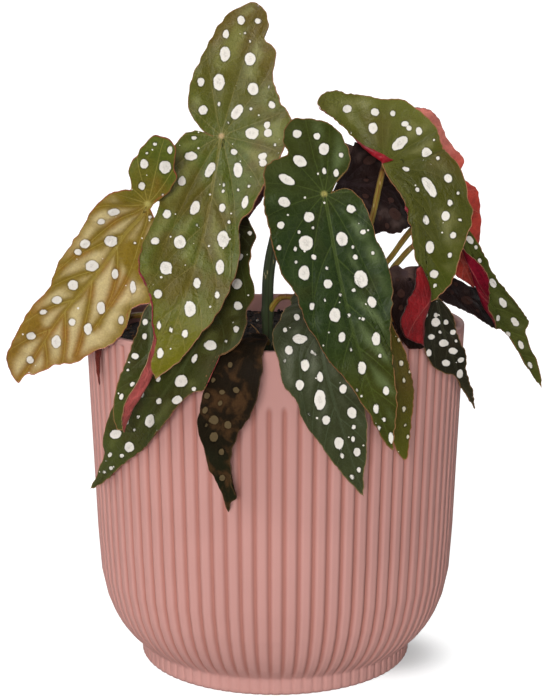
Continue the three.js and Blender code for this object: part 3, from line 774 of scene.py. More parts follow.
# the low leaves on the left: the dark maroon-brown lobe end is painted shade under the leaves above; the
# greens further on are their own colours
LOW_SHADED_LOBE = LeafFinish(lobe="#1c120c", middle="#303413", tip="#3e431a", blush="#352e12",
                 vein="#56603a", under="#b05450", margin="#84603e", gloss=0.12,
                 painted_sheen="#5c6034", painted_sheen_share=0.5)
GREY = LeafFinish(lobe="#262d18", middle="#30341f", tip="#343820", blush="#2c2a1a",
                  vein="#57614a", under="#4a1420", margin="#77603f",
                  vein_strength=0.2, gloss=0.12, painted_sheen="#5b5e4c", painted_sheen_share=0.55,
                  painted_sheen_cloud=(0.4, 0.6))
DUSK = LeafFinish(lobe="#282c1e", middle="#201e14", tip="#3a3420", blush="#2a2216",
                  vein="#4a4a38", under="#4a1420", margin="#7a5a3c",
                  vein_strength=0.2, gloss=0.05, painted_sheen="#33301f")
SHADED = LeafFinish(lobe="#5a463f", middle="#1d1210", tip="#120906", blush="#180d0a",
                    vein="#34282a", under="#740d12", dot="#33211c", dot_core="#281814",
                    margin="#341812", vein_strength=0.3, speckle=0.9, gloss=0.08,
                    star="#34282a", painted_sheen="#4a3b36", painted_sheen_share=0.7, painted_sheen_cloud=(0.42, 0.7),
                    painted_sheen_size=6.0)
RED_TIP = LeafFinish(lobe="#4a1c14", middle="#5c2018", tip="#6a2418", blush="#3a1410",
                     vein="#5c2a20", under="#7a2a20", margin="#5a2018", speckle=0.95,
                     painted_sheen_share=0.0)
FADED = LeafFinish(lobe="#36350f", middle="#463d16", tip="#464614", blush="#4a361a",
                   vein="#575222", under="#5a1a1a", dot="#b8b09c", gloss=0.12,
                   painted_sheen_share=0.2)
# the old hanging leaf: its brown mottle and dull spots are its own colours; the near-black lobe end is
# painted shadow from the leaves above
OLD_AND_SHADED = LeafFinish(lobe="#080504", middle="#19130c", tip="#1a1b0f", blush="#402c1a",
                 vein="#2a2014", under="#3a1a14", dot="#51442f", dot_core="#3b3122",
                 margin="#463420", vein_strength=0.15, blush_share=0.85, speckle=0.95,
                 roughness=0.62, gloss=0.02, patch=6.0, star="#20180f", painted_sheen_share=0.0)
# the bright coral underside is painted backlight, and it is paler towards the lobe as painted light from
# above
LIT_BACK = LeafFinish(lobe="#3c460f", middle="#384a10", tip="#464a10", blush="#463812",
                      vein="#6a6720", under="#9a352a", under_lobe_painted_light="#a86055", margin="#9c3c34")


class Matter:
    """The finishes of everything that isn't a blade."""

    @staticmethod
    def pot() -> Material:
        """Dusty pink matt plastic with a very fine grain, with painted shade down in the grooves."""
        sketch = Sketch("pot_pink", 0.55, 0.14)
        painted_groove_shade = sketch.split(sketch.mark("rib"))[0]
        points = sketch.place()
        cloud = sketch.speckled(points, 35.0, 2.0, 0.97, 1.03)
        # painted shade: the colour darkens down into the grooves between the ribs
        colour = sketch.mix(sketch.rise(painted_groove_shade, 0.05, 0.95), "#ae817a", "#9c695f")
        sketch.finish("Base Color", sketch.shade(colour, cloud))
        sketch.finish("Roughness", sketch.speckled(points, 3.0, 2.0, 0.46, 0.56))
        sketch.relief(sketch.noise(points, 0.35, 3.0), 0.04)
        return sketch.material

    @staticmethod
    def soil() -> Material:
        """Dark moist peat: near black with brown fibres."""
        sketch = Sketch("soil_dark", 0.95, 0.15)
        points = sketch.place()
        grain = sketch.noise(points, 1.1, 5.0)
        colour = sketch.mix(sketch.rise(grain, 0.35, 0.7), "#120e0c", "#33261e")
        fleck = sketch.cells(points, 1.6)[1]
        colour = sketch.mix(sketch.rise(sketch.split(fleck)[0], 0.86, 0.9), colour, "#4c3728")
        sketch.finish("Base Color", colour)
        sketch.relief(grain, 0.9)
        return sketch.material

    @staticmethod
    def crumb(name: str, colour: str) -> Material:
        """Loose grains of one colour."""
        sketch = Sketch(name, 0.9, 0.2)
        shade = sketch.speckled(sketch.place(), 0.9, 3.0, 0.6, 1.3)
        sketch.finish("Base Color", sketch.shade(colour, shade))
        return sketch.material

    @staticmethod
    def cane() -> Material:
        """Canes and leaf stalks: olive green on one side, red-brown on the other, streaked."""
        sketch = Sketch("cane_skin", 0.42, 0.45)
        _, angle, radius = sketch.split(sketch.mark("along"))
        points = sketch.place((1.0, 1.0, 0.3))
        wander = sketch.math("MULTIPLY_ADD", sketch.noise(points, 6.0), 3.0, -1.5)
        side = sketch.math("ADD", sketch.math("COSINE", angle), wander)
        stalk = sketch.mix(sketch.rise(side, -0.2, 0.9), "#6c4222", "#756427")
        thick = sketch.mix(sketch.rise(side, -0.8, 0.8), "#1f1f13", "#2c3520")
        colour = sketch.mix(sketch.rise(radius, 1.35, 1.8), stalk, thick)
        streak = sketch.speckled(sketch.place((1.0, 1.0, 0.12)), 0.8, 3.0, 0.82, 1.16)
        colour = sketch.shade(colour, streak)
        pores = sketch.cells(points, 1.5)[0]
        colour = sketch.mix(sketch.rise(pores, 0.1, 0.2, 0.4, 0.0), colour, "#b5a27a")
        sketch.finish("Base Color", colour)
        sketch.relief(sketch.noise(points, 0.7), 0.12)
        return sketch.material

    @staticmethod
    def papery() -> Material:
        """A dry brown scale with long fibres."""
        sketch = Sketch("papery_brown", 0.8, 0.25)
        fibre = sketch.noise(sketch.place((1.0, 1.0, 0.15)), 0.4, 3.0)
        colour = sketch.mix(sketch.rise(fibre, 0.35, 0.65), "#4a2a18", "#8a6038")
        edge = sketch.split(sketch.mark("reach"))[0]
        colour = sketch.mix(sketch.rise(edge, 0.0, 0.7, 0.5, 0.0), colour, "#b08a5c")
        sketch.finish("Base Color", colour)
        sketch.relief(sketch.math("ADD", fibre, sketch.noise(sketch.mark("flat"), 0.6)), 0.2)
        return sketch.material


# ---- Leaf blades ----


@dataclass(frozen=True)
class Curl:
    """How one half of a blade bends.

    Its angles, in radians, hold at the lobe's end, at the navel and at the tip, and are reached
    at `reach` millimetres from the midrib.
    """

    lobe: float = 0.2
    navel: float = 0.2
    tip: float = 0.1
    reach: float = 14.0


class Fineness(Enum):
    """How finely a blade's mesh is cut: rings about the hub, and places round the margin."""

    LARGE = (76, 300)
    MEDIUM = (60, 230)
    SMALL = (36, 150)
    TINY = (16, 60)


class Skin(IntEnum):
    """Which of a blade's three materials a face takes."""

    UPPER = 0
    LOWER = 1
    RIM = 2


# How blades are drawn, veined, spotted and rolled: millimetres, degrees and shares.
FAR = 9.0
SEED_STEP = 7.0
MARGIN_STEPS = 400
MARGIN_WAVE = 0.22
MARGIN_WAVE_SIZE = 3.2
VEIN_STEPS = 24
FAN_VEINS = ((24, 0.45), (54, 0.3), (88, 0.2), (124, 0.05), (155, -0.02))
BRANCH_STARTS = (0.22, 0.4, 0.57, 0.73)
BRANCH_ANGLE = 38
BRANCH_REACH = 0.34
SPOT_TRIES = 420
SPECK_SHARE = 0.45
SPECK_SIZES = (0.5, 1.0)
SPOT_SIZES = (1.3, 2.5)
SPOT_STRETCH = 1.35
SPOT_ROOM = 0.8
ROLL_STEPS = 40
ROLL_SIDES = 12
BLOCK = 2000


@dataclass
class Blade:
    """One begonia leaf, drawn flat and then bent along its spine.

    Flat x runs from the navel, where the stalk joins, to the tip, and flat y across.  `navel` is
    that point's place in the `spine`.  `one` and `other` are the margins from the notch by the
    navel to the tip.  The mesh's rings lie about the `hub`.  `dots` are the spots that the
    photograph shows: picture x, y, width and height, and a tilt in degrees where they lean.
    `rolls` are stretches of margin that turn over: flat start, flat end and thickness.
    """

    name: str
    finish: LeafFinish
    spine: list[Triple]
    face: Triple
    notch: Pair
    one: list[Pair]
    other: list[Pair]
    navel: int = 1
    plus: Curl = Curl()
    minus: Curl = Curl()
    hub: Pair = (0.0, 0.0)
    fineness: Fineness = Fineness.LARGE
    dots: list[tuple[float, ...]] = field(default_factory=list)
    rolls: list[tuple[Pair, Pair, float]] = field(default_factory=list)
    fill: float = 8.5
    ruffle: float = 0.6
    puff: float = 0.28
    seed: int = 1
    spine_steps: int = 40
    thickness: float = 0.6
    edge_thickness: float = 0.34

    def __post_init__(self) -> None:
        """Works out the spine's points, lengths, directions and face normals."""
        stretches = len(self.spine) - 1
        self.line = smooth_curve(self.spine, np.linspace(0, 1, stretches * self.spine_steps + 1))
        start = self.navel * self.spine_steps
        self.heading = unit(np.gradient(self.line, axis=0))
        self.length = run_length(self.line)
        self.length -= self.length[start]
        self.normal = carried(self.heading, range(start, len(self.line)), self.face)
        self.normal[:start] = carried(self.heading, range(start, -1, -1), self.face)[:start]

    @property
    def tip(self) -> float:
        """The length from the navel to the tip."""
        return float(self.length[-1])

    @property
    def lobe(self) -> float:
        """The length from the navel back to the end of the spine."""
        return float(-self.length[0])

    def bend(self, flat: Array, lift: Array | float = 0.0) -> Array:
        """Puts flat points on the bent sheet.

        Across the spine the sheet follows an arc that turns by the curl's angle over its reach
        and runs straight on: sideways = sin(turn)/bend + beyond cos(angle), and upwards =
        (1 - cos(turn))/bend + beyond sin(angle), where bend is the angle over the reach.

        Args:
            flat: Flat points, x along and y across.
            lift: How far each point is raised off the sheet.

        Returns:
            The points in millimetres.
        """
        along, across = flat.T
        knots = [self.length[0], 0.0, self.tip]
        curls = [[side.lobe, side.navel, side.tip] for side in (self.plus, self.minus)]
        angle = np.where(across >= 0, *(np.interp(along, knots, curl) for curl in curls))
        angle = np.where(np.abs(angle) < 1e-6, 1e-6, angle)
        reach = np.where(across >= 0, self.plus.reach, self.minus.reach)
        in_arc = np.minimum(np.abs(across), reach)
        beyond = np.abs(across) - in_arc
        bend = angle / reach
        turn = bend * in_arc
        sideways = np.sin(turn) / bend + beyond * np.cos(angle) - lift * np.sin(turn)
        upward = (1 - np.cos(turn)) / bend + beyond * np.sin(angle) + lift * np.cos(turn)
        origin, normal, heading = (self._along_spine(rows, along)
                                   for rows in (self.line, self.normal, self.heading))
        past = along - np.clip(along, self.length[0], self.length[-1])
        origin = origin + heading * past[:, None]
        side = np.cross(unit(normal), unit(heading)) * np.sign(across + 1e-12)[:, None]
        return origin + side * sideways[:, None] + unit(normal) * upward[:, None]

    def _along_spine(self, rows: Array, along: Array) -> Array:
        """Reads rows that belong to the spine's points at other lengths."""
        return np.stack([np.interp(along, self.length, column) for column in rows.T], axis=1)

    def under(self, below: float) -> Array:
        """The point below the navel where the stalk ends."""
        return self.bend(np.zeros((1, 2)), -self.thickness / 2 - below)[0]

    def rim(self, places: int) -> Array:
        """The outline: one margin to the tip and the other back, with a faint uneven wave.

        Args:
            places: How many points go round.

        Returns:
            The flat outline, anticlockwise.
        """
        tip = (self.tip, 0.0)
        runs = [np.array([self.notch, *side, tip]) for side in (self.one, self.other)]
        steps = np.linspace(0, 1, MARGIN_STEPS)
        lengths = [run_length(smooth_curve(run, steps))[-1] for run in runs]
        first = round(places * lengths[0] / sum(lengths))
        outline = np.vstack([even_curve(runs[0], first),
                             even_curve(runs[1][::-1], places - first)])
        following = np.roll(outline, -1, axis=0)
        area = (outline[:, 0] * following[:, 1] - following[:, 0] * outline[:, 1]).sum()
        outline = outline if area > 0 else outline[::-1]
        heading = unit(np.roll(outline, -1, axis=0) - np.roll(outline, 1, axis=0))
        outward = heading[:, ::-1] * [1, -1]
        room = smooth_step(np.linalg.norm(outline, axis=1), 3.0, 12.0)
        wave = MARGIN_WAVE * waves(outline, MARGIN_WAVE_SIZE, self.seed) * room
        return outline + outward * wave[:, None]

    def veins(self) -> list[Array]:
        """The main veins: a fan from the navel, and branches off the midrib.

        A fan vein starts at its own angle and turns towards the tip as it runs; a branch leaves
        the midrib at its own angle and turns the same way.

        Returns:
            One flat polyline for each vein.
        """
        part = np.linspace(0, 1, VEIN_STEPS)
        wide = max(abs(point[1]) for point in [*self.one, *self.other])
        lines = [np.stack([part * self.tip, 0 * part], axis=1)]
        reaches = (0.6 * self.tip, 1.5 * wide, 1.4 * wide, 1.3 * wide, 0.9 * self.lobe)
        plan = [(angle, turning, reach, 0.0) for (angle, turning), reach in zip(FAN_VEINS, reaches)]
        plan += [(BRANCH_ANGLE, 0.35, BRANCH_REACH * self.tip, start) for start in BRANCH_STARTS]
        for side in (1, -1):
            for angle, turning, reach, start in plan:
                heading = np.radians(angle * (1 - turning * part)) * side
                begin = (start + 0.03 * side) * self.tip if start else 0.0
                line = np.stack([np.cos(heading), np.sin(heading)], axis=1)
                lines.append(line * (part * reach)[:, None] + [begin, 0.0])
        if self.lobe > 8:
            lines.append(np.stack([-part * 0.95 * self.lobe, 0.06 * self.lobe * part**2], axis=1))
        return lines

    def vein_distance(self, flat: Array) -> tuple[Array, Array]:
        """How far flat points lie from the nearest vein.

        Args:
            flat: Flat points.

        Returns:
            The distance with a sign for the side and thinner towards a vein's end, and the plain
            distance.
        """
        plain = np.full(len(flat), np.inf)
        signed = np.zeros(len(flat))
        for number, line in enumerate(self.veins()):
            start, step = line[:-1], np.diff(line, axis=0)
            offset = flat[:, None] - start[None]
            part = np.clip((offset * step).sum(-1) / (step**2).sum(-1), 0, 1)
            distance = np.linalg.norm(offset - part[..., None] * step, axis=-1)
            piece = distance.argmin(axis=1)
            rows = np.arange(len(flat))
            shortest = distance[rows, piece]
            away, run = offset[rows, piece], step[piece]
            turned = run[:, 0] * away[:, 1] - run[:, 1] * away[:, 0]
            taper = 1 + (1.2 if number == 0 else 2.6) * (piece + part[rows, piece]) / len(step)
            closer = shortest < plain
            signed = np.where(closer, np.sign(turned) * shortest * taper, signed)
            plain = np.where(closer, shortest, plain)
        return signed, plain

    def spots(self, flat: Array, shown: Array, outline: Array) -> Array:
        """How far flat points lie outside the nearest spot; below 0 inside one.

        The photograph's spots are carried back onto the flat blade with the sheet's own slope at
        the nearest mesh point.  Where they leave more than `fill` millimetres free, seeded spots
        are added, longer along the leaf than across.

        Args:
            flat: The mesh's flat points.
            shown: The picture places of those points.
            outline: The flat outline.

        Returns:
            One distance in millimetres for each point.
        """
        centres, shapes = self._shown_spots(flat, shown)
        self._add_spots(centres, shapes, outline)
        distance = np.full(len(flat), FAR)
        for centre, shape in zip(centres, shapes):
            reach = np.linalg.norm((flat - centre) @ shape.T, axis=1)
            radius = 1 / math.sqrt(abs(np.linalg.det(shape)))
            distance = np.minimum(distance, (reach - 1) * radius)
        return distance

    def _shown_spots(self, flat: Array, shown: Array) -> tuple[list[Array], list[Array]]:
        """Carries the photograph's spots back onto the flat blade.

        Args:
            flat: The mesh's flat points.
            shown: The picture places of those points.

        Returns:
            Each spot's flat middle, and the matrix that makes it a circle of radius 1.
        """
        centres, shapes = [], []
        for dot in self.dots:
            at = nearest(shown, dot[:2])
            slope = self._slope(flat[at])
            centres.append(flat[at] + np.linalg.solve(slope, np.array(dot[:2]) - shown[at]))
            turn = rotation(math.radians(dot[4]) if len(dot) > 4 else 0.0)
            shapes.append(self._rounder(np.diag([2 / dot[2], 2 / dot[3]]) @ turn @ slope))
        return centres, shapes

    def _add_spots(self, centres: list[Array], shapes: list[Array], outline: Array) -> None:
        """Adds seeded spots to the lists where more than `fill` millimetres are free.

        Args:
            centres: The spots' flat middles.
            shapes: The matrices that make them circles.
            outline: The flat outline.
        """
        rng = np.random.default_rng(self.seed)
        for _ in range(SPOT_TRIES):
            rho, place = rng.uniform(0.2, 0.9), rng.integers(len(outline))
            centre = outline[place] * rho
            size = rng.uniform(*(SPECK_SIZES if rng.random() < SPECK_SHARE else SPOT_SIZES))
            clear = min(np.linalg.norm(outline - centre, axis=1).min() - size,
                        abs(centre[1]) - size, np.linalg.norm(centre) - size - 2)
            room = self.fill * (0.62 if size < 1 else 1.0)
            free = all(np.linalg.norm(other - centre) > room for other in centres)
            if clear > SPOT_ROOM and free and self.fill > 0:
                lean = math.atan2(centre[1], centre[0] + 0.4 * self.tip)
                centres.append(centre)
                shapes.append(np.diag([1 / (SPOT_STRETCH * size), 1 / size]) @ rotation(lean).T)

    @staticmethod
    def _rounder(shape: Array, longest: float = 2.2, least: float = 0.38) -> Array:
        """Keeps a spot's length under `longest` widths and its half width over `least`."""
        left, sizes, right = np.linalg.svd(shape)
        sizes = np.minimum(sizes, 1 / least)
        return left @ np.diag(np.maximum(sizes, sizes.max() / longest)) @ right

    def _slope(self, point: Array) -> Array:
        """How the picture place changes as a flat point moves along and across."""
        step = 0.05
        moved = np.array([point, point + [step, 0.0], point + [0.0, step]])
        shown = CAMERA.pixels(self.bend(moved, self.thickness / 2))
        return np.stack([shown[1] - shown[0], shown[2] - shown[0]], axis=1) / step

    def relief(self, flat: Array, edge: Array, plain: Array) -> Array:
        """How far the sheet stands off its smooth form.

        Narrow grooves lie along the veins, the panels between them puff up, and the margin rises
        and falls along its length.

        Args:
            flat: Flat points.
            edge: Distance to the margin.
            plain: Distance to the nearest vein.

        Returns:
            One height for each point.
        """
        middle = smooth_step(edge, 0.0, 5.0) * smooth_step(np.linalg.norm(flat, axis=1), 1.5, 9.0)
        panels = self.puff * (1 - np.exp(-(plain / 3.4) ** 2)) * middle
        grooves = -0.12 * np.exp(-(plain / 0.8) ** 2) * middle
        wave = self.ruffle * waves(flat, 17.0, self.seed + 5, 5)
        margin = wave * (1 - smooth_step(edge, 0.0, 7.0))
        uneven = 0.22 * waves(flat, 11.0, self.seed + 9)
        room = smooth_step(np.linalg.norm(flat, axis=1), 2.0, 14.0)
        return panels + grooves + (margin + uneven) * room

    def _roll(self, start: Pair, end: Pair, radius: float, outline: Array, first: int) -> Surface:
        """A stretch of margin that is rolled back, as a tube that tapers at both ends.

        Args:
            start: The flat place near which the roll starts.
            end: The flat place near which it ends.
            radius: The radius at its middle.
            outline: The flat outline.
            first: The index of the tube's first point.

        Returns:
            The roll, with the leaf's marks.
        """
        here, there = nearest(outline, start), nearest(outline, end)
        steps = (there - here + len(outline) // 2) % len(outline) - len(outline) // 2
        picked = outline[np.arange(here, here + steps, int(np.sign(steps))) % len(outline)]
        part = np.linspace(0, 1, ROLL_STEPS)
        flat = smooth_curve(picked, part)
        half = radius * np.sqrt(np.clip(np.sin(math.pi * part**1.6), 0, 1)) + 0.1
        half *= 1 + 0.12 * waves(flat, 6.0, self.seed)
        turn = around(ROLL_SIDES)
        inward = unit(np.array(self.hub) - flat)
        offset = (half[:, None] * (0.85 + np.cos(turn)))[..., None] * inward[:, None]
        lift = 0.2 * half[:, None] * (0.9 + np.sin(turn)) + 0.25
        rows = np.vstack([(flat[:, None] + offset).reshape(-1, 2), flat[:1], flat[-1:]])
        ends = np.full(2, self.thickness / 2)
        surface = tube(self.bend(flat), half, ROLL_SIDES, first)
        surface.points = self.bend(rows, np.concatenate([lift.ravel(), ends]))
        second = [ROLL_SIDES, ROLL_SIDES + 1, 2 * ROLL_SIDES]
        if np.linalg.det(surface.points[second] - self.bend(flat[1:2])[0]) < 0:
            surface.faces = [faces[:, ::-1] for faces in surface.faces]
        surface.finishes = [Skin.LOWER] * len(surface.finishes)
        far = np.full((len(rows), 3), FAR)
        surface.marks = {"flat": self._seeded(rows), "pattern": far, "reach": far}
        return surface

    def _seeded(self, flat: Array) -> Array:
        """Flat points with a height of their own, so that no two blades share a pattern."""
        return np.column_stack([flat, np.full(len(flat), SEED_STEP * self.seed)])

    def _flat_rings(self, outline: Array) -> Array:
        """The mesh's flat points: the hub and the rings about it, closer towards the margin.

        Ring k lies at the share (k/n)^0.92 of the way to the margin, and the last one on it.

        Args:
            outline: The flat outline.

        Returns:
            The points, ring by ring.
        """
        hub = np.array(self.hub)
        spokes = outline - hub
        size = np.linalg.norm(spokes, axis=1).mean()
        rings, _ = self.fineness.value
        share = np.append(np.linspace(0, 1 - 0.45 / size, rings)[1:] ** 0.92, 1.0)
        rows = (share[:, None, None] * spokes).reshape(-1, 2)
        return hub + np.vstack([np.zeros((1, 2)), rows])

    def _skins(self, points: Array) -> Surface:
        """Joins the rings of the upper and the lower face, and both faces round the margin.

        Args:
            points: The upper face's points and then the lower face's.

        Returns:
            The closed blade.
        """
        rings, places = self.fineness.value
        count = len(points) // 2
        surface = Surface(points)
        surface.add(ring_bands(1, rings, places), Skin.UPPER)
        surface.add(fan(0, 1, places), Skin.UPPER)
        surface.add(ring_bands(1 + count, rings, places, turned=True), Skin.LOWER)
        surface.add(fan(count, count + 1, places, turned=True), Skin.LOWER)
        here = 1 + (rings - 1) * places + np.arange(places)
        after = np.roll(here, -1)
        surface.add(np.stack([here, here + count, after + count, after], axis=1), Skin.RIM)
        return surface

    def materials(self) -> list[Material]:
        """The upper skin, the lower skin and the rim."""
        skins = [UpperSkin(self.name, self.finish, self.lobe, self.tip),
                 LowerSkin(self.name, self.finish), RimSkin(self.name, self.finish)]
        return [skin.material for skin in skins]

    def build(self) -> Piece:
        """Makes the blade: rings from the hub to the margin on both faces, closed at the rim.

        Returns:
            The finished piece, which replaces the frame's plain leaf.
        """
        outline = self.rim(self.fineness.value[1])
        flat = self._flat_rings(outline)
        blocks = (flat[start:start + BLOCK, None] - outline[None]
                  for start in range(0, len(flat), BLOCK))
        edge = np.concatenate([np.linalg.norm(block, axis=-1).min(axis=1) for block in blocks])
        signed, plain = self.vein_distance(flat)
        height = self.relief(flat, edge, plain)
        half = (self.edge_thickness + (self.thickness - self.edge_thickness)
                * smooth_step(edge, 0.0, 4.0)) / 2
        upper, lower = self.bend(flat, height + half), self.bend(flat, height - half)
        dot = self.spots(flat, CAMERA.pixels(upper), outline)
        surface = self._skins(np.vstack([upper, lower]))
        navel = np.linalg.norm(flat, axis=1)
        both = {"flat": self._seeded(flat), "pattern": np.column_stack([signed, plain, dot]),
                "reach": np.column_stack([edge, navel, 0 * edge])}
        surface.marks = {label: np.vstack([values, values]) for label, values in both.items()}
        for start, end, radius in self.rolls:
            roll = self._roll(start, end, radius, outline, len(surface.points))
            surface = joined([surface, roll])
        return surface.to_piece(self.name + "_leaf", self.materials(), node_slot(self.name),
                                [self.name])


class DryScale(Blade):
    """The dry scale at the foot of the front cane, drawn the way the leaves are."""

    def materials(self) -> list[Material]:
        """One papery finish all over."""
        return [Matter.papery()] * len(Skin)


def node_slot(node: str) -> str:
    """The record's material slot of one of the frame's nodes."""
    subparts = frame["record"]["subparts"]
    return next(part["material_slot"] for part in subparts if part["node"] == node)


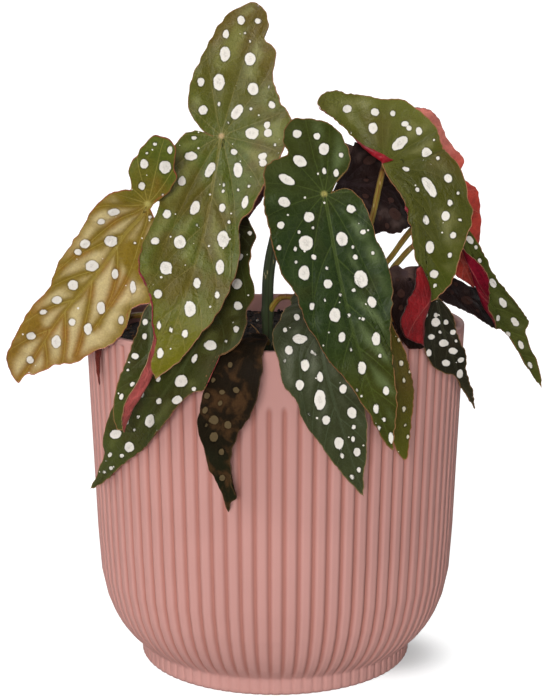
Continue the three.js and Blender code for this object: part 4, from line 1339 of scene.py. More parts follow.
BLADES = [Blade(
    name="leaf_tall_left", finish=OLIVE, seed=1,
    spine=[(-7.5, -24, 241.5), (-12.5, -34, 218), (-18, -44, 196), (-23.5, -61, 164.5), (-31, -76, 140),
           (-38.5, -80, 120)],
    navel=2, face=(-0.1, -0.97, 0.25), notch=(0.5, -3), hub=(2, 1),
    plus=Curl(0.25, 0.3, 0.2, 16), minus=Curl(0.25, 0.2, 0.2, 16),
    one=[(-0.5, -7.5), (1.5, -12), (7.5, -15.5), (20, -17.5), (29, -16.5), (42.5, -18.5), (54, -17.5),
         (62.5, -11), (72, -7), (77, -4), (84, -3)],
    other=[(-1.5, -7.5), (-6.5, -12.5), (-13, -14.5), (-21.5, -14.5), (-32.5, -12), (-43, -8.5), (-48, -4),
           (-50.5, 0), (-48, 4.5), (-42.5, 7), (-37.5, 6.5), (-33, 11.5), (-24, 12.5), (-15, 18),
           (-9.5, 23), (0, 23.5), (11, 21), (19, 17), (26, 14.5), (32, 11), (43.5, 14), (56, 13.5),
           (64, 12), (70.5, 9), (78.5, 6), (86, 1.5)],
    dots=[(241, 20, 7, 9), (258, 21, 7, 5), (226, 34, 6, 8), (225, 54, 10, 14), (250, 59, 11, 13),
          (201, 82, 7, 8), (219, 82, 11, 16), (253, 89, 10, 12), (203, 110, 9, 9), (272, 105, 6, 7),
          (237, 112, 9, 16, -35), (252, 133, 13, 12), (267, 125, 6, 7), (268, 133, 8, 8), (191, 156, 12, 9),
          (234, 152, 6, 6), (263, 156, 9, 6, 25), (263, 163, 8, 7), (210, 170, 8, 16, -25),
          (238, 170, 9, 14), (182, 181, 8, 9), (245, 202, 6, 12, -15), (222, 208, 6, 8),
          (195, 208, 9, 14, -20), (167, 214, 8, 8), (155, 241, 8, 7), (180, 242, 12, 12),
          (223, 239, 11, 17), (220, 267, 8, 14), (166, 268, 12, 13), (197, 283, 7, 10), (158, 294, 9, 8),
          (217, 295, 5, 7), (190, 309, 11, 15), (159, 325, 4, 12), (185, 334, 6, 8), (171, 330, 5, 6),
          (160, 353, 7, 10), (245, 33, 2, 2), (250, 41, 2, 2), (258, 6, 2, 2), (219, 104, 3, 4),
          (251, 109, 3, 3), (269, 87, 2, 3), (228, 123, 2, 2), (194, 138, 5, 3), (224, 185, 2, 3),
          (223, 191, 3, 4), (249, 186, 3, 3), (238, 190, 2, 3), (229, 222, 3, 3), (197, 225, 2, 2),
          (275, 145, 3, 3)],
    rolls=[((46, -18.5), (79, -4), 0.42)], fill=0.0,
), Blade(
    name="leaf_left_olive", finish=YOUNG, seed=2,
    spine=[(-37, -67, 197), (-42, -58, 174.5), (-50.5, -51, 163.5), (-59.5, -48, 151), (-74, -47, 134),
           (-89.5, -40, 110.5)],
    face=(0.1, -0.9, 0.35), notch=(1.5, 1.5), hub=(2, 0),
    plus=Curl(0.1, 0.1, 0.1, 14), minus=Curl(0.1, 0.1, 0.1, 14),
    one=[(4.5, 5), (8.5, 10.5), (17, 16), (24.5, 19.5), (30, 20), (32.5, 17.5), (36, 16.5), (40.5, 19.5),
         (49, 19.5), (56.5, 16), (63, 13.5), (69, 7.5), (73.5, 5), (76.5, 3), (78, 1)],
    other=[(-2.5, 2.5), (-6, 5.5), (-11.5, 7.5), (-15, 6), (-21.5, 6), (-24, 3.5), (-24.5, -0.5),
           (-22.5, -3.5), (-16.5, -6.5), (-11, -8.5), (-3.5, -6.5), (-2, -9), (4, -12.5), (13.5, -13.5),
           (23, -13), (37, -12.5), (48, -9), (56.5, -10), (64.5, -9.5), (75, -8.5), (81.5, -3.5)],
    dots=[(144, 164, 8, 9), (165, 167, 11, 13), (142, 186, 6, 7), (114, 212, 11, 7), (101, 222, 7, 6),
          (85, 244, 10, 9), (78, 252, 7, 6), (111, 241, 13, 11), (92, 266, 13, 11), (115, 274, 6, 11),
          (73, 285, 10, 10), (133, 287, 6, 12), (57, 300, 10, 8), (101, 308, 8, 13), (43, 312, 8, 5),
          (72, 322, 7, 7), (88, 329, 8, 11), (121, 320, 5, 9), (31, 336, 9, 8), (56, 342, 9, 12),
          (30, 360, 7, 8), (163, 195, 2, 2), (155, 144, 3, 3), (147, 153, 3, 3), (170, 150, 5, 7),
          (150, 217, 3, 3), (135, 243, 2, 2)],
    fill=0.0,
), Blade(
    name="leaf_centre_green", finish=GREEN, seed=3,
    spine=[(8, -60, 202.5), (12, -61, 190.5), (16, -64, 178), (21, -75, 151.5), (28, -87, 125.5),
           (37.5, -91, 99)],
    navel=2, face=(0.05, -0.97, 0.25), notch=(0, 2.5),
    one=[(-0.5, 7), (2.5, 10.5), (8.5, 13), (18, 14), (26.5, 16), (36.5, 15.5), (50, 11.5), (64.5, 8.5),
         (74, 6), (82.5, 2)],
    other=[(-3.5, 5.5), (-6.5, 10.5), (-11.5, 12), (-18.5, 10.5), (-23.5, 6), (-26, 0), (-26, -4),
           (-21.5, -7.5), (-16.5, -7.5), (-15.5, -13.5), (-12, -17.5), (1.5, -20.5), (11.5, -20),
           (22.5, -19), (30.5, -15.5), (38.5, -14.5), (50.5, -11.5), (61, -7), (71, -4), (83, -2)],
    dots=[(297, 134, 9, 8), (317, 136, 6, 7), (324, 149, 10, 12), (300, 161, 15, 10, -35),
          (287, 180, 17, 8, -28), (341, 155, 5, 5), (324, 171, 4, 6), (336, 173, 5, 7),
          (284, 202, 12, 9, -30), (351, 209, 9, 8), (309, 217, 10, 10), (281, 225, 7, 7),
          (306, 243, 14, 15), (342, 239, 11, 14, 15), (279, 248, 5, 5), (295, 249, 4, 4), (314, 257, 5, 5),
          (304, 273, 11, 14), (355, 257, 5, 5), (361, 279, 13, 17, 15), (328, 284, 9, 9),
          (372, 302, 8, 11, 20), (335, 315, 11, 14), (342, 337, 7, 11, -10), (376, 339, 8, 13),
          (354, 290, 4, 4), (363, 232, 5, 5), (312, 306, 5, 7), (362, 368, 8, 13), (386, 391, 6, 9),
          (376, 409, 5, 10), (391, 438, 5, 15), (353, 247, 2, 3), (373, 253, 3, 4), (313, 228, 3, 3),
          (299, 232, 3, 3), (296, 262, 3, 3), (327, 268, 3, 3), (340, 295, 3, 3), (325, 300, 3, 3),
          (349, 316, 3, 4), (363, 319, 3, 3), (380, 356, 3, 4), (351, 350, 3, 4), (357, 390, 3, 3),
          (384, 420, 4, 4), (379, 428, 4, 5)],
    fill=0.0,
), Blade(
    name="leaf_right_olive", finish=RIPE, seed=4,
    spine=[(35.5, -34, 208.5), (37.5, -42, 186.5), (45.5, -49, 173.5), (48.5, -55.5, 156),
           (51.5, -56, 141)],
    face=(0.15, -0.95, 0.3), notch=(-1.2, -1.2), hub=(0, 6),
    plus=Curl(0.25, 0.15, 0.2, 14), minus=Curl(-0.9, -1, -0.6, 9),
    one=[(6, -1.2), (14, -1.5), (19, -2.2), (25, -2), (31.5, -2), (37.5, -1.5), (44, -0.5)],
    other=[(-6, -5.6), (-11, -10.2), (-17, -15.6), (-22, -20.4), (-26, -24.6), (-29, -26.2), (-31, -23.5),
           (-30.5, -17), (-27, -10), (-23.5, 0), (-22.5, 8), (-18, 14), (-10, 19.5), (13, 21), (18, 19.5),
           (24, 19.5), (30.5, 16.5), (40.5, 12), (46.5, 8.5), (49.5, 4)],
    rolls=[((-28.5, -26), (-17, -15.6), 0.6), ((-12, -11), (0.5, -1.2), 3.3), ((16, -2), (23, -2), 0.8),
           ((25, -2), (33, -2), 0.7)],
    dots=[(347, 109, 8, 8), (375, 112, 8, 8), (393, 113, 5, 6), (373, 128, 9, 11), (405, 124, 7, 5),
          (409, 128, 5, 5), (419, 131, 6, 8), (400, 143, 18, 10, 40), (427, 154, 10, 10), (438, 158, 4, 4),
          (406, 169, 7, 4, -15), (448, 178, 8, 8), (429, 186, 24, 9, -58), (450, 203, 5, 6),
          (446, 216, 8, 9), (426, 220, 6, 9, 10), (453, 235, 6, 6), (430, 247, 8, 12), (434, 274, 8, 8),
          (450, 255, 4, 5), (417, 190, 4, 4), (460, 220, 4, 2, -20), (435, 285, 3, 3), (458, 193, 3, 3),
          (434, 140, 2, 2)],
    fill=0.0,
), Blade(
    name="leaf_right_behind", finish=LIT_BACK, seed=5, fineness=Fineness.MEDIUM,
    spine=[(55, -14, 206.5), (58.5, -10, 174), (66, -2, 155), (74.5, 4, 138)],
    face=(-0.2, 0.95, 0.1), notch=(-0.5, 2.5),
    one=[(2, 7), (10, 9.5), (21.5, 10), (33, 4.5)],
    other=[(-6.5, 6.5), (-21, 10), (-31, 8.5), (-32, 3.5), (-28.5, -2), (-18, -6.5), (-11.5, -11.5),
           (-6, -10), (4.5, -15.5), (17, -13), (27, -8.5), (35.5, -4.5)],
), Blade(
    name="leaf_right_hanging", finish=PALER, seed=6, fineness=Fineness.MEDIUM,
    spine=[(61.5, -24, 165.5), (66, -24, 160.5), (70.5, -20, 150.5), (75, -15, 140.5), (85, -6, 124.5),
           (94, 2, 110.5), (101.5, 6, 99)],
    face=(-0.1, -0.9, 0.3), notch=(-1.5, 1), hub=(8, 1),
    plus=Curl(0.1, 0.1, 0.1, 10), minus=Curl(2.5, 2.5, 1, 5),
    one=[(-1, 3), (10.5, 5), (22, 6), (32, 7.5), (43, 8.5), (48, 8.5), (50.5, 6), (54, 5), (70, 3)],
    other=[(-2.5, -1.5), (0, -3), (5.5, -5.3), (10, -8.6), (14, -11), (19, -10.5), (24, -8.5), (29, -6),
           (36, -5.5), (41, -3.5), (47, -0.8), (66, -0.5)],
    dots=[(470, 240, 6, 9, 35), (483, 268, 4, 9, 30), (493, 283, 6, 10, 30), (503, 303, 6, 11, 30),
          (515, 322, 6, 10, 35), (498, 318, 4, 6), (521, 345, 5, 9, 25), (530, 365, 4, 7, 25),
          (508, 334, 4, 5), (476, 247, 3, 4)],
), Blade(
    name="leaf_shaded_middle", finish=SHADED, seed=7, fineness=Fineness.MEDIUM,
    spine=[(17, -19, 183), (24, -21, 179), (40, -21, 176.5), (54.5, -20, 168)],
    face=(0, -0.95, 0.3), notch=(-2, 0), hub=(8, 3),
    one=[(-8, 5.5), (-8, 12.5), (5.5, 15.5), (13.5, 14), (23, 9)],
    other=[(-1.5, -7), (2, -15), (6.5, -20), (14.5, -19), (21, -15), (26, -13.5), (29.5, -8)],
), Blade(
    name="leaf_red_fold", finish=SHADED, seed=8, fineness=Fineness.SMALL,
    spine=[(41.5, -57.5, 155), (43, -58.5, 151.5), (45.5, -60, 146), (45.2, -61.2, 140), (43.8, -62.5, 134),
           (43.8, -64, 127)],
    face=(0, -0.95, 0.3), notch=(-1.5, 0), hub=(2, 0),
    plus=Curl(2.2, 2.5, 2.3, 12), minus=Curl(0.1, 0.1, 0.1, 10),
    one=[(-3.5, -1.5), (-2.5, -5), (3, -8), (9, -8.5), (15.5, -6.5), (20, -3.5), (23.5, -1.5)],
    other=[(-1.5, 2), (0, 6), (1, 10), (2, 13.5), (5.5, 16.5), (10, 20), (15, 22.5), (19, 23.5), (22.5, 21),
           (24.5, 13), (26, 5)],
    dots=[(401, 293, 8, 8), (401, 308, 5, 5), (398, 280, 3, 3), (404, 322, 4, 4)],
), Blade(
    name="leaf_small_right", finish=DUSK, seed=9, fineness=Fineness.MEDIUM,
    spine=[(52, -35, 144.5), (55.5, -39, 140.5), (57.5, -50, 129), (64, -45, 113), (71, -32, 99.5)],
    face=(0.3, -0.93, 0.2), notch=(-1.5, 0), hub=(6, 0),
    one=[(3.5, 3), (9.5, 5), (20, 5), (26.5, 5.5), (32.5, 3), (42, 2)],
    other=[(-0.5, -3), (5, -5.5), (11.5, -8.5), (15, -9.5), (22.5, -8), (28, -5), (32, -1.5), (40, -1)],
    dots=[(423, 315, 9, 8), (436, 322, 9, 8), (446, 322, 5, 5), (453, 332, 6, 5), (431, 337, 7, 5),
          (444, 343, 10, 7), (453, 351, 8, 6), (429, 353, 6, 7), (461, 360, 6, 5), (446, 363, 8, 6),
          (460, 374, 6, 9), (436, 315, 4, 4), (440, 332, 3, 3), (456, 341, 3, 3)],
    fill=0.0,
), Blade(
    name="leaf_dark_point", finish=SHADED, seed=10, fineness=Fineness.SMALL,
    spine=[(52.5, -22, 146), (56, -22, 144), (71.5, -9, 135.5), (87, 5, 123)],
    face=(0, -0.8, 0.6), notch=(-2, 0), hub=(8, -3),
    one=[(-3, 5), (10, 5.5), (21.5, 5.5), (27, 7.5), (33.5, 4), (42, 3)],
    other=[(-1, -4), (4, -6), (11.5, -6.5), (21, -6), (29, -6.5), (38, -4.5)],
    dots=[(467, 300, 14, 8, -15), (452, 292, 5, 5), (484, 309, 6, 4)],
), Blade(
    name="leaf_olive_brown", finish=FADED, seed=11, fineness=Fineness.SMALL,
    spine=[(36, -63, 141.5), (37.5, -66, 137), (41, -69, 114), (43, -65, 89)],
    face=(0.1, -0.99, 0.1), notch=(-1.5, 0),
    one=[(4.5, 1.5), (10.5, 3.5), (18, 4.5), (27.5, 4.5), (37.5, 3), (47.5, 1.5)],
    other=[(1, -4), (9.5, -6), (21, -5.5), (33, -4.5), (44, -2.5)],
    dots=[(399, 340, 3, 4), (401, 363, 4, 5), (404, 380, 3, 5), (404, 409, 4, 5), (405, 425, 3, 3),
          (408, 437, 3, 4), (410, 372, 2, 2)],
), Blade(
    name="leaf_low_front", finish=GREY, seed=12, fineness=Fineness.MEDIUM,
    spine=[(10, -46, 145), (15.5, -56, 141), (15.5, -74, 126.5), (22, -77, 102.5), (29.5, -72, 78.5)],
    face=(0, -0.97, 0.25), notch=(0, 2),
    one=[(5.5, 5), (17, 10), (29.5, 11), (39.5, 9.5), (49.5, 8), (59.5, 5), (68.5, 1.5)],
    other=[(-5, 1.5), (-10, -1.5), (-9.5, -8), (7, -14), (17, -16), (24, -14.5), (30, -14.5), (34.5, -12),
           (42, -11.5), (52.5, -8), (64, -4.5), (70.5, -2)],
    dots=[(297, 317, 6, 6), (300, 339, 14, 9), (289, 350, 8, 8), (305, 365, 9, 11), (320, 377, 6, 10),
          (300, 385, 8, 10), (343, 389, 7, 9), (320, 400, 11, 20), (326, 420, 8, 9, -20),
          (352, 413, 9, 11, 20), (339, 443, 9, 11), (357, 452, 7, 9), (352, 477, 5, 5), (285, 361, 3, 3),
          (315, 354, 4, 3), (312, 352, 3, 3), (285, 330, 4, 4), (309, 414, 3, 3), (354, 427, 4, 4),
          (353, 439, 4, 6), (342, 456, 4, 5), (359, 470, 4, 5)],
), Blade(
    name="leaf_low_left", finish=LOW_SHADED_LOBE, seed=13,
    spine=[(-14, -34, 175.5), (-16, -40, 166), (-19.5, -57, 144), (-26.5, -72.5, 128), (-42, -63, 105),
           (-66.5, -31, 70)],
    face=(-0.2, -0.95, 0.2), notch=(0.5, -2), hub=(14, 4),
    one=[(-3, -8.5), (5, -12), (23.5, -12), (42.5, -12.5), (64, -13), (81.5, -12), (95, -12), (108, -8),
         (116, -4), (128, -1)],
    other=[(-7.5, -1.5), (-8.5, 2.5), (-2, 7), (5, 10.5), (10.5, 9.5), (19, 10), (26.5, 13), (35, 12),
           (41, 14), (47, 14), (49, 11.5), (51.5, 8), (56, 9), (59, 11), (64, 7.5), (78.5, 7), (92.5, 6.5),
           (110, 4), (125.5, 2.5)],
    dots=[(181, 381, 12, 12), (177, 400, 9, 8), (159, 401, 6, 6), (150, 421, 10, 13, -15),
          (132, 400, 11, 8, 15), (126, 421, 6, 8), (116, 434, 10, 9), (129, 447, 9, 10), (122, 456, 4, 4),
          (210, 345, 12, 9), (236, 329, 6, 6), (238, 306, 8, 8), (237, 284, 10, 10), (194, 389, 4, 4),
          (226, 341, 3, 3), (134, 430, 3, 3), (110, 455, 4, 5, -30), (104, 472, 4, 3), (111, 468, 4, 4)],
), Blade(
    name="leaf_narrow_left", finish=LOW_SHADED_LOBE, seed=14, fineness=Fineness.MEDIUM,
    spine=[(-38, -49, 147.5), (-41, -57, 141), (-41.5, -64, 133), (-41, -70, 125.5), (-43, -72, 118.5),
           (-47.5, -71, 111), (-52.5, -67, 100)],
    face=(-0.1, -0.97, 0.2), notch=(-2, 0), hub=(6, 0),
    plus=Curl(2.4, 2.5, 1.8, 5), minus=Curl(0.1, 0.1, 0.1, 10),
    one=[(3.5, -2.5), (11, -4), (18, -6.5), (24, -7.5), (30, -7.5), (36.5, -6), (44, -3.5)],
    other=[(6, 5), (14, 5), (22, 8), (30, 9.5), (38, 9), (46, 5)],
    dots=[(135, 356, 7, 6), (128, 370, 3, 3), (145, 322, 5, 6)],
), Blade(
    name="leaf_old_hanging", finish=OLD_AND_SHADED, seed=15, fineness=Fineness.MEDIUM,
    spine=[(-6, -52, 131.5), (-7.5, -61, 130.5), (-10, -71, 129), (-14, -77, 119), (-19.5, -75, 101),
           (-15.5, -71, 73)],
    face=(0, -0.5, 0.85), notch=(-1, -1.5),
    one=[(4, -6), (12, -7), (18, -8), (25, -8.5), (34, -7), (43, -6), (52, -4), (60, -2.5)],
    other=[(-4, 0), (-3, 4), (4, 6), (12, 7), (20, 9.5), (27, 10.5), (34, 10), (42, 8), (51, 5), (57, 4),
           (61.5, 3.5), (65, 4.5), (67.5, 1.5)],
    dots=[(213, 380, 4, 4), (207, 396, 6, 6), (205, 410, 6, 6), (214, 420, 9, 9), (214, 437, 8, 10),
          (220, 403, 5, 5), (228, 425, 7, 8), (206, 425, 4, 4), (222, 392, 6, 5), (236, 390, 6, 6),
          (221, 452, 6, 6), (222, 478, 6, 6), (230, 365, 5, 5)],
    fill=0.0,
), Blade(
    name="leaf_young_red", finish=RED_TIP, seed=16, fineness=Fineness.TINY,
    spine=[(-58.5, -36.5, 134.5), (-59.5, -38, 132), (-61, -40, 121), (-61, -38.5, 110)],
    face=(-0.6, -0.6, 0.5), notch=(-1, 0),
    one=[(1.5, -3), (5.5, -4), (10.5, -2.5)],
    other=[(1, 3.5), (4.5, 2), (9.5, 1)],
), Blade(
    name="leaf_rear_left", finish=GREEN, seed=17, fineness=Fineness.MEDIUM,
    spine=[(-12, 14, 196), (-16, 22, 184), (-24, 46, 166), (-34, 68, 142), (-40, 78, 112)],
    face=(-0.2, 0.8, 0.5), notch=(0, -2), hub=(2, 1),
    one=[(-4, -10), (6, -19), (24, -20), (46, -15), (66, -8), (86, -3)],
    other=[(-8, -9), (-16, -4), (-15, 6), (-4, 13), (14, 17), (34, 16), (54, 13), (72, 7), (88, 2)],
), Blade(
    name="leaf_rear_right", finish=OLIVE, seed=18, fineness=Fineness.MEDIUM,
    spine=[(16, 8, 174), (18, 17, 166), (22, 40, 154), (28, 62, 135), (33, 75, 106)],
    face=(0.1, 0.8, 0.5), notch=(0, 2), hub=(2, -1),
    one=[(-4, 10), (6, 18), (24, 19), (44, 14), (62, 8), (76, 3)],
    other=[(-8, 9), (-13, 4), (-12, -6), (-2, -13), (16, -17), (34, -15), (52, -11), (70, -6)],
)]


STIPULE = DryScale(
    name="stipule", finish=OLD_AND_SHADED, seed=19, fineness=Fineness.TINY,
    spine=[(-5.3, -30.6, 121.5), (-5.3, -30.6, 124), (-6.2, -30.8, 127.5), (-8.5, -31.3, 130)],
    face=(-1, -0.2, 0.1), notch=(-1.5, 0),
    one=[(-1, -1.8), (2, -2.6), (5, -1.8)], other=[(-1, 1.8), (2, 2.4), (5, 2)],
    fill=0.0, ruffle=0.3, puff=0.0, thickness=0.5, edge_thickness=0.25,
)


# ---- Canes ----


@dataclass
class Cane:
    """A cane that stands in the soil, with the stalks of its leaves."""

    name: str
    path: list[Triple]
    stalks: dict[str, list[Triple]]
    radius: float = 2.1
    knot: float = 0.32
    stalk_radius: float = 1.2
    stalk_flares: Pair = (0.34, 0.22)
    approach: float = 4.5
    steps: tuple[int, int] = (90, 60)
    sides: tuple[int, int] = (20, 14)

    def _stem(self) -> Surface:
        """The cane, whose radius swells where each stalk leaves it and tapers at the top.

        Returns:
            The cane without its stalks.
        """
        path = smooth_curve(self.path, np.linspace(0, 1, self.steps[0]))
        radii = np.full(len(path), self.radius - 0.05)
        for via in self.stalks.values():
            gap = np.linalg.norm(path - np.array(via[0]), axis=1)
            radii += self.knot * np.exp(-(gap / 1.6) ** 2)
        radii = np.minimum(radii, self.radius + 0.35)
        left = run_length(path)[-1] - run_length(path)
        radii *= 0.55 + 0.45 * smooth_step(left, 0.0, 5.0)
        return tube(path, radii, self.sides[0])

    def _stalk(self, blade: Blade, via: list[Triple], first: int) -> Surface:
        """One leaf stalk: thick at the cane, slim along its run and flared under the blade.

        Args:
            blade: The blade that it carries.
            via: The points that it runs through from the cane.
            first: The index of its first point.

        Returns:
            The stalk.
        """
        ends = [blade.under(self.approach), blade.under(-0.05)]
        path = smooth_curve([*via, *ends], np.linspace(0, 1, self.steps[1]))
        along = run_length(path)
        from_end = along[-1] - along
        at_cane, at_blade = self.stalk_flares
        radii = self.stalk_radius * (0.88 + at_cane * np.exp(-(along / 3.0) ** 2)
                                     + at_blade * np.exp(-(from_end / 1.6) ** 2))
        bumps = 0.05 * waves(path, 5.0, blade.seed)
        return tube(path, radii + bumps, self.sides[1], first)

    def build(self, blades: dict[str, Blade]) -> Piece:
        """Makes the cane with its stalks as one piece.

        Args:
            blades: The leaf blades by name.

        Returns:
            The finished piece.
        """
        surfaces = [self._stem()]
        for leaf, via in self.stalks.items():
            first = sum(len(surface.points) for surface in surfaces)
            surfaces.append(self._stalk(blades[leaf], via, first))
        return joined(surfaces).to_piece(self.name + "_stems", [Matter.cane()],
                                         node_slot(self.name), [self.name])


CANES = [Cane(
    name="cane_front",
    path=[(-2.5, -30, 100), (-2.5, -30, 120), (-2.5, -30, 145), (0, -29, 160), (4, -28, 172),
          (5, -27, 181)],
    stalks={
        "leaf_tall_left": [(5, -27, 179), (-1, -27, 186), (-10, -31, 194)],
        "leaf_centre_green": [(4, -28, 171), (8, -36, 176)],
        "leaf_low_front": [(-2.5, -30, 134), (2, -35, 140), (8, -44, 140.5)],
        "leaf_old_hanging": [(-2.5, -30, 123), (-4, -38, 126), (-6, -52, 127)],
    },
), Cane(
    name="cane_left",
    path=[(-17, -12, 100), (-17, -12, 120), (-18, -13, 140), (-20, -12, 158), (-19, -8, 168)],
    stalks={
        "leaf_left_olive": [(-20, -12, 157), (-27, -24, 168), (-36, -42, 174)],
        "leaf_low_left": [(-18, -13, 144), (-17, -22, 156)],
        "leaf_narrow_left": [(-17, -12, 128), (-26, -28, 138), (-35, -44, 143)],
        "leaf_young_red": [(-17, -12, 124), (-34, -20, 131), (-50, -31, 133), (-57, -36, 130)],
        "leaf_rear_left": [(-19, -8, 166), (-18, 4, 176)],
    },
), Cane(
    name="cane_right",
    path=[(22, -18, 100), (22, -18, 120), (23, -18, 138), (25, -17, 152)],
    stalks={
        "leaf_right_olive": [(25, -17, 150), (30, -31.5, 156), (33.5, -35.5, 168),
                             (35.8, -36, 179)],
        "leaf_shaded_middle": [(25, -17, 151), (26, -16, 163)],
        "leaf_right_behind": [(23, -18, 138), (34, -18, 144), (41, -17, 151.5), (48, -17, 161)],
        "leaf_right_hanging": [(22.5, -18, 133), (36, -19, 140.5), (43.5, -18.5, 150),
                               (52, -18, 158)],
        "leaf_red_fold": [(22.5, -18, 130), (33, -26, 137), (41, -40, 143), (44, -49, 146)],
        "leaf_small_right": [(22, -18, 126), (36, -24, 134), (48, -30, 138)],
        "leaf_dark_point": [(22, -18, 128), (40, -16, 137), (50, -17, 140)],
        "leaf_olive_brown": [(22, -18, 124), (28, -36, 131), (33, -55, 134.5)],
        "leaf_rear_right": [(25, -17, 149), (23, -4, 156)],
    },
)]


# ---- Pot ----


@dataclass
class RibbedPot:
    """The round pot: rounded upright ribs, a narrower foot, a plain lip and a smooth panel.

    `crests` are heights and radii up the ribs' crests, `cavity` those down the inside.
    """

    height: float = 127.0
    rim_radius: float = 70.0
    wall: float = 2.8
    ribs: int = 84
    rib_depth: float = 1.0
    rib_turn: float = 0.5
    crest_share: float = 0.4
    samples: int = 12
    lip: float = 1.8
    panel: float = 17.0
    panel_ribs: int = 3
    foot_groove: float = 0.28
    edge: float = 0.6
    crests: tuple[Pair, ...] = ((0.0, 51.0), (6.0, 51.2), (8.5, 53.9), (11.0, 56.6), (15.0, 59.6),
                                (19.0, 61.8), (25.0, 64.1), (34.0, 66.0), (50.0, 67.1),
                                (75.0, 68.05), (100.0, 69.05), (107.0, 69.3), (118.0, 69.7),
                                (125.2, 70.0), (127.0, 70.0))
    cavity: tuple[Pair, ...] = ((125.0, 67.1), (119.0, 66.9), (63.5, 64.6), (34.0, 62.6),
                                (20.0, 58.4), (12.0, 53.0), (4.0, 45.0))

    def _heights(self) -> Array:
        """Rows up the outside, close together at the foot, the panel's ends and the lip."""
        stretches = [np.linspace(0, 7, 9), np.linspace(8, 34, 24), np.linspace(37, 104, 16),
                     np.linspace(105.5, 109.5, 9), np.linspace(112, 123, 5),
                     np.linspace(124, self.height, 12)]
        return np.concatenate(stretches)

    def _depths(self, height: Array, rib: Array) -> Array:
        """How deep the grooves are: none in the lip, nor in the panel.

        Args:
            height: The height of each point.
            rib: How many ribs each point lies from the panel's middle.

        Returns:
            A share of the full depth for each point.
        """
        top = self.height - self.lip
        below_lip = 1 - smooth_step(height, top - 0.8, top + 0.2)
        side = self.panel_ribs / 2
        inside = 1 - smooth_step(rib, side - 0.25, side - 0.05)
        low = top - self.panel
        above = smooth_step(height, low - 2.6, low + 1.2)
        foot = self.foot_groove + (1 - self.foot_groove) * smooth_step(height, 4.0, 12.0)
        return below_lip * (1 - inside * above) * foot

    def _rounding(self, gap: Array) -> Array:
        """How far the wall draws in along a quarter circle as a point nears an end."""
        part = np.clip(1 - gap / self.edge, 0, 1)
        return self.edge * (1 - np.sqrt(1 - part**2))

    def build(self) -> Piece:
        """Makes the pot as one closed wall.

        Across a rib the radius falls from a wide flat crest along 3t^2 - 2t^3 into a groove.

        Returns:
            The finished piece.
        """
        count = self.ribs * self.samples
        place = np.arange(count) / self.samples
        across = 2 * np.abs(place - np.round(place))
        fall = smooth_step(across, self.crest_share, 1.0)
        rows = self._heights()
        knots = np.array(self.crests)
        height = np.repeat(rows[:, None], count, axis=1)
        crest = np.interp(height, knots[:, 0], knots[:, 1])
        from_panel = np.minimum(place, self.ribs - place)
        depth = self._depths(height, np.broadcast_to(from_panel, height.shape))
        drop = self._rounding(height) + self._rounding(self.height - height)
        radius = crest - self.rib_depth * depth * fall - drop
        angle = math.tau * place / self.ribs - math.pi / 2 + math.radians(self.rib_turn)
        bore = self.rim_radius - self.wall
        inner = np.array([(self.height, bore + 0.5), (self.height - 0.25, bore + 0.12),
                          *self.cavity])
        shape = (len(inner), count)
        all_radius = np.vstack([radius, np.broadcast_to(inner[:, 1:], shape)])
        all_height = np.vstack([height, np.broadcast_to(inner[:, :1], shape)])
        right, deep = all_radius * np.cos(angle), all_radius * np.sin(angle)
        ring = np.stack([right, deep, all_height], axis=-1)
        ends = np.array([[0.0, 0.0, 0.0], [0.0, 0.0, self.cavity[-1][0]]])
        surface = Surface(np.vstack([ring.reshape(-1, 3), ends]))
        rings = len(all_radius)
        surface.add(ring_bands(0, rings, count))
        surface.add(fan(rings * count, 0, count, turned=True))
        surface.add(fan(rings * count + 1, (rings - 1) * count, count))
        surface.marks["rib"] = np.zeros_like(surface.points)
        surface.marks["rib"][:height.size, 0] = (depth * fall).ravel()
        return surface.to_piece("pot_shell", [Matter.pot()], node_slot("pot"), ["pot"])


# ---- Soil ----


@dataclass(frozen=True)
class Grain:
    """One kind of loose grain: its finish, how many there are, and the least and largest size."""

    name: str
    colour: str
    count: int
    least: float
    most: float


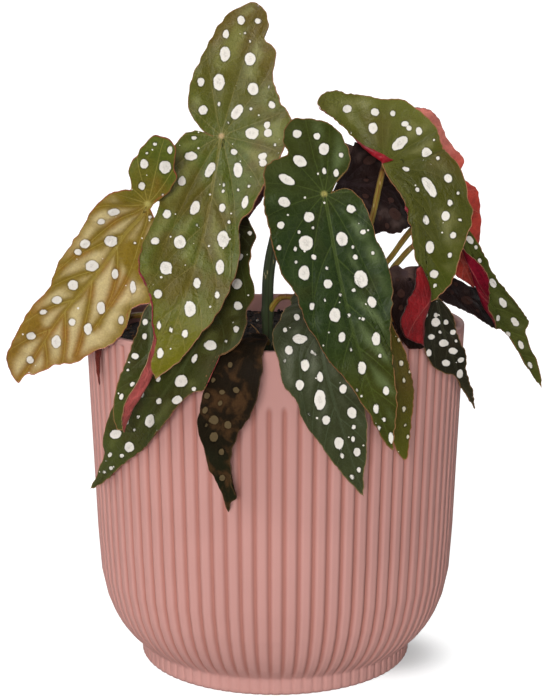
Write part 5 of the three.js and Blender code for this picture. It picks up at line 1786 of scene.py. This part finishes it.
@dataclass
class SoilBed:
    """The soil in the pot, with a rough top and loose crumbs on it.

    `side` are heights and radii down the pot's wall.
    """

    level: float = 119.6
    radius: float = 66.0
    rings: int = 64
    places: int = 200
    floor: float = 4.4
    seed: int = 41
    side: tuple[Pair, ...] = ((63.0, 64.0), (34.0, 62.0), (20.0, 57.8), (12.0, 52.4), (4.4, 44.4))
    grains: tuple[Grain, ...] = (Grain("crumb_peat", "#1b1512", 520, 0.5, 1.5),
                                 Grain("crumb_fibre", "#5a3d28", 150, 0.4, 1.1),
                                 Grain("crumb_pale", "#b9b0a4", 46, 0.4, 0.9))

    def _top(self, flat: Array) -> Array:
        """The height of the top: slow swells, lumps and a fine roughness."""
        lumps = 0.5 * waves(flat, 9.0, self.seed) + 0.32 * waves(flat, 3.4, self.seed + 1)
        rough = 0.2 * waves(flat, 1.5, self.seed + 2)
        swell = 0.5 * waves(flat, 40.0, self.seed + 3)
        return self.level + lumps + rough + swell

    def build(self) -> Piece:
        """Makes the soil: rings from the middle out, down the wall and across the floor.

        Returns:
            The finished piece.
        """
        share = np.linspace(0, 1, self.rings + 1)[1:]
        round_ring = circle(self.places)
        rows = (share[:, None, None] * self.radius * round_ring).reshape(-1, 2)
        flat = np.vstack([np.zeros((1, 2)), rows])
        top = np.column_stack([flat, self._top(flat)])
        walls = [np.column_stack([radius * round_ring, np.full(self.places, height)])
                 for height, radius in self.side]
        bottom = np.array([[0.0, 0.0, self.floor]])
        surface = Surface(np.vstack([top, *walls, bottom]))
        rings = self.rings + len(walls)
        surface.add(fan(0, 1, self.places))
        surface.add(ring_bands(1, rings, self.places))
        surface.add(fan(len(surface.points) - 1, 1 + (rings - 1) * self.places, self.places,
                        turned=True))
        return surface.to_piece("soil_bed", [Matter.soil()], node_slot("soil"), ["soil"])

    def crumbs(self) -> Piece:
        """Scatters small angular grains on the top: dark peat, brown fibre and a few pale ones.

        Every grain is a ten-cornered lump squeezed and turned at random.

        Returns:
            The finished piece.
        """
        rng = np.random.default_rng(self.seed)
        corner = np.array([[1, 0, 0], [0, 1, 0], [-1, 0, 0], [0, -1, 0], [0, 0, 1], [0, 0, -1],
                           [0.62, 0.62, 0.5], [-0.62, 0.62, 0.5], [-0.62, -0.62, 0.5],
                           [0.62, -0.62, 0.5]], dtype=float)
        faces = np.array([[0, 1, 6], [1, 2, 7], [2, 3, 8], [3, 0, 9], [6, 1, 7], [7, 2, 8],
                          [8, 3, 9], [9, 0, 6], [6, 7, 4], [7, 8, 4], [8, 9, 4], [9, 6, 4],
                          [1, 0, 5], [2, 1, 5], [3, 2, 5], [0, 3, 5]])
        surface = Surface(np.zeros((0, 3)))
        blocks = []
        for kind, grain in enumerate(self.grains):
            count = grain.count
            reach = self.radius * np.sqrt(rng.uniform(0, 0.96, count))
            turn = rng.uniform(0, math.tau, count)
            flat = np.stack([reach * np.cos(turn), reach * np.sin(turn)], axis=1)
            base = np.column_stack([flat, self._top(flat) + 0.15])
            stretch = rng.uniform(grain.least, grain.most, (count, 1, 3))
            spin, _ = np.linalg.qr(rng.normal(size=(count, 3, 3)))
            spin *= np.sign(np.linalg.det(spin))[:, None, None]
            lumps = (corner[None] * stretch) @ spin
            first = sum(len(block) for block in blocks)
            blocks.append((base[:, None] + lumps).reshape(-1, 3))
            offset = first + np.arange(count)[:, None, None] * len(corner)
            surface.add((faces[None] + offset).reshape(-1, 3), kind)
        surface.points = np.vstack(blocks)
        materials = [Matter.crumb(grain.name, grain.colour) for grain in self.grains]
        return surface.to_piece("soil_crumbs", materials, node_slot("soil"))


# ---- Studio ----


@dataclass(frozen=True)
class SoftLight:
    """A far, soft light: where it comes from, how strong and wide it is and what it lights."""

    name: str
    azimuth: float
    elevation: float
    strength: float
    width: float
    body: bool = True
    shine: bool = True

    def build(self) -> None:
        """Makes the light; azimuth 0 shines along +Y and goes round to the viewer's left."""
        data = bpy.data.lights.new(self.name, "SUN")
        data.energy = self.strength
        data.angle = math.radians(self.width)
        light = bpy.data.objects.new(self.name, data)
        light.rotation_euler = (math.radians(90 - self.elevation), 0.0,
                                math.radians(-self.azimuth))
        light.visible_diffuse, light.visible_glossy = self.body, self.shine
        bpy.context.scene.collection.objects.link(light)


@dataclass
class Studio:
    """A plain pale floor with a painted contact shadow, a white surround that only the camera sees, and
    soft light.
    """

    floor_radius: float = 6.0
    floor_sides: int = 96
    surround_height: float = 8.0
    surround_sides: int = 64
    surround_glow: float = 1.2
    sky: float = 0.15
    floor_glow: float = 0.88
    shade_glow: float = 0.34
    shade_middle: Pair = (40.0, -8.0)
    shade_reach: Pair = (10.0, 32.0)
    lights: tuple[SoftLight, ...] = (
        SoftLight("front_light", 5.0, 10.0, 3.4, 20.0, shine=False),
        SoftLight("left_light", 62.0, 26.0, 1.35, 70.0),
        SoftLight("back_light", 200.0, 38.0, 0.7, 60.0),
        SoftLight("shine_left", 50.0, 50.0, 3.0, 36.0, body=False),
        SoftLight("shine_right", -55.0, 25.0, 1.2, 36.0, body=False),
    )

    def build(self) -> None:
        """Makes the floor, the surround, the lights and the sky light."""
        self._floor()
        self._surround()
        for light in self.lights:
            light.build()
        world = bpy.data.worlds.new("sky")
        world.use_nodes = True
        background = world.node_tree.nodes["Background"]
        background.inputs["Color"].default_value = (1.0, 1.0, 1.0, 1.0)
        background.inputs["Strength"].default_value = self.sky
        bpy.context.scene.world = world
        world.cycles_visibility.glossy = False
        bpy.context.scene.view_settings.view_transform = "Standard"

    def _floor(self) -> None:
        """A round white floor at the pot's foot, whose glow dims beside the foot as a painted contact
        shadow.
        """
        ring = self.floor_radius * circle(self.floor_sides)
        mesh = bpy.data.meshes.new("floor")
        mesh.from_pydata([(x, y, 0.0) for x, y in ring], [], [list(range(self.floor_sides))])
        sketch = Sketch("floor_white", 0.9, 0.0)
        sketch.finish("Base Color", "#a8a8a8")
        sketch.finish("Emission Color", "#ffffff")
        seen = sketch.nodes.new("ShaderNodeLightPath").outputs["Is Camera Ray"]
        across, deep, _ = sketch.split(sketch.place())
        squares = [sketch.math("POWER", sketch.math("SUBTRACT", place, middle), 2.0)
                   for place, middle in zip((across, deep), self.shade_middle)]
        away = sketch.math("SQRT", sketch.math("ADD", *squares))
        # painted contact shadow: the glow that the camera sees falls off near the pot's foot
        glow = sketch.rise(away, *self.shade_reach, self.shade_glow, self.floor_glow)
        sketch.finish("Emission Strength", sketch.times(seen, glow))
        mesh.materials.append(sketch.material)
        self._stage("floor", mesh)

    def _surround(self) -> None:
        """A wide white cylinder that closes the view and lets the light through."""
        count, top = self.surround_sides, self.surround_height
        ring = 0.98 * self.floor_radius * circle(count)
        points = [(x, y, z) for z in (-0.01, top) for x, y in ring] + [(0.0, 0.0, top)]
        sides = ring_bands(0, 2, count, turned=True).tolist()
        mesh = bpy.data.meshes.new("surround")
        mesh.from_pydata(points, [], sides + fan(2 * count, count, count).tolist())
        material = bpy.data.materials.new("surround_white")
        material.use_nodes = True
        nodes = material.node_tree.nodes
        nodes.clear()
        glow = nodes.new("ShaderNodeEmission")
        glow.inputs["Strength"].default_value = self.surround_glow
        output = nodes.new("ShaderNodeOutputMaterial")
        material.node_tree.links.new(glow.outputs[0], output.inputs["Surface"])
        mesh.materials.append(material)
        surround = self._stage("surround", mesh)
        surround.visible_diffuse = False
        surround.visible_glossy = False
        surround.visible_transmission = False
        surround.visible_shadow = False

    @staticmethod
    def _stage(name: str, mesh: bpy.types.Mesh) -> Piece:
        """Puts a mesh in the scene as something that isn't part of the object."""
        thing = bpy.data.objects.new(name, mesh)
        bpy.context.scene.collection.objects.link(thing)
        return thing


def main() -> None:
    """Builds the camera, the studio and every piece in turn."""
    logging.basicConfig(level=logging.INFO, format="%(name)s: %(message)s")
    CAMERA.place()
    Studio().build()
    pieces = [RibbedPot().build()]
    bed = SoilBed()
    pieces += [bed.build(), bed.crumbs()]
    blades = {blade.name: blade for blade in BLADES}
    pieces += [cane.build(blades) for cane in CANES]
    pieces += [blade.build() for blade in BLADES]
    pieces.append(STIPULE.build())
    LOG.info("%d pieces made", len(pieces))


if __name__ == "__main__":
    main()
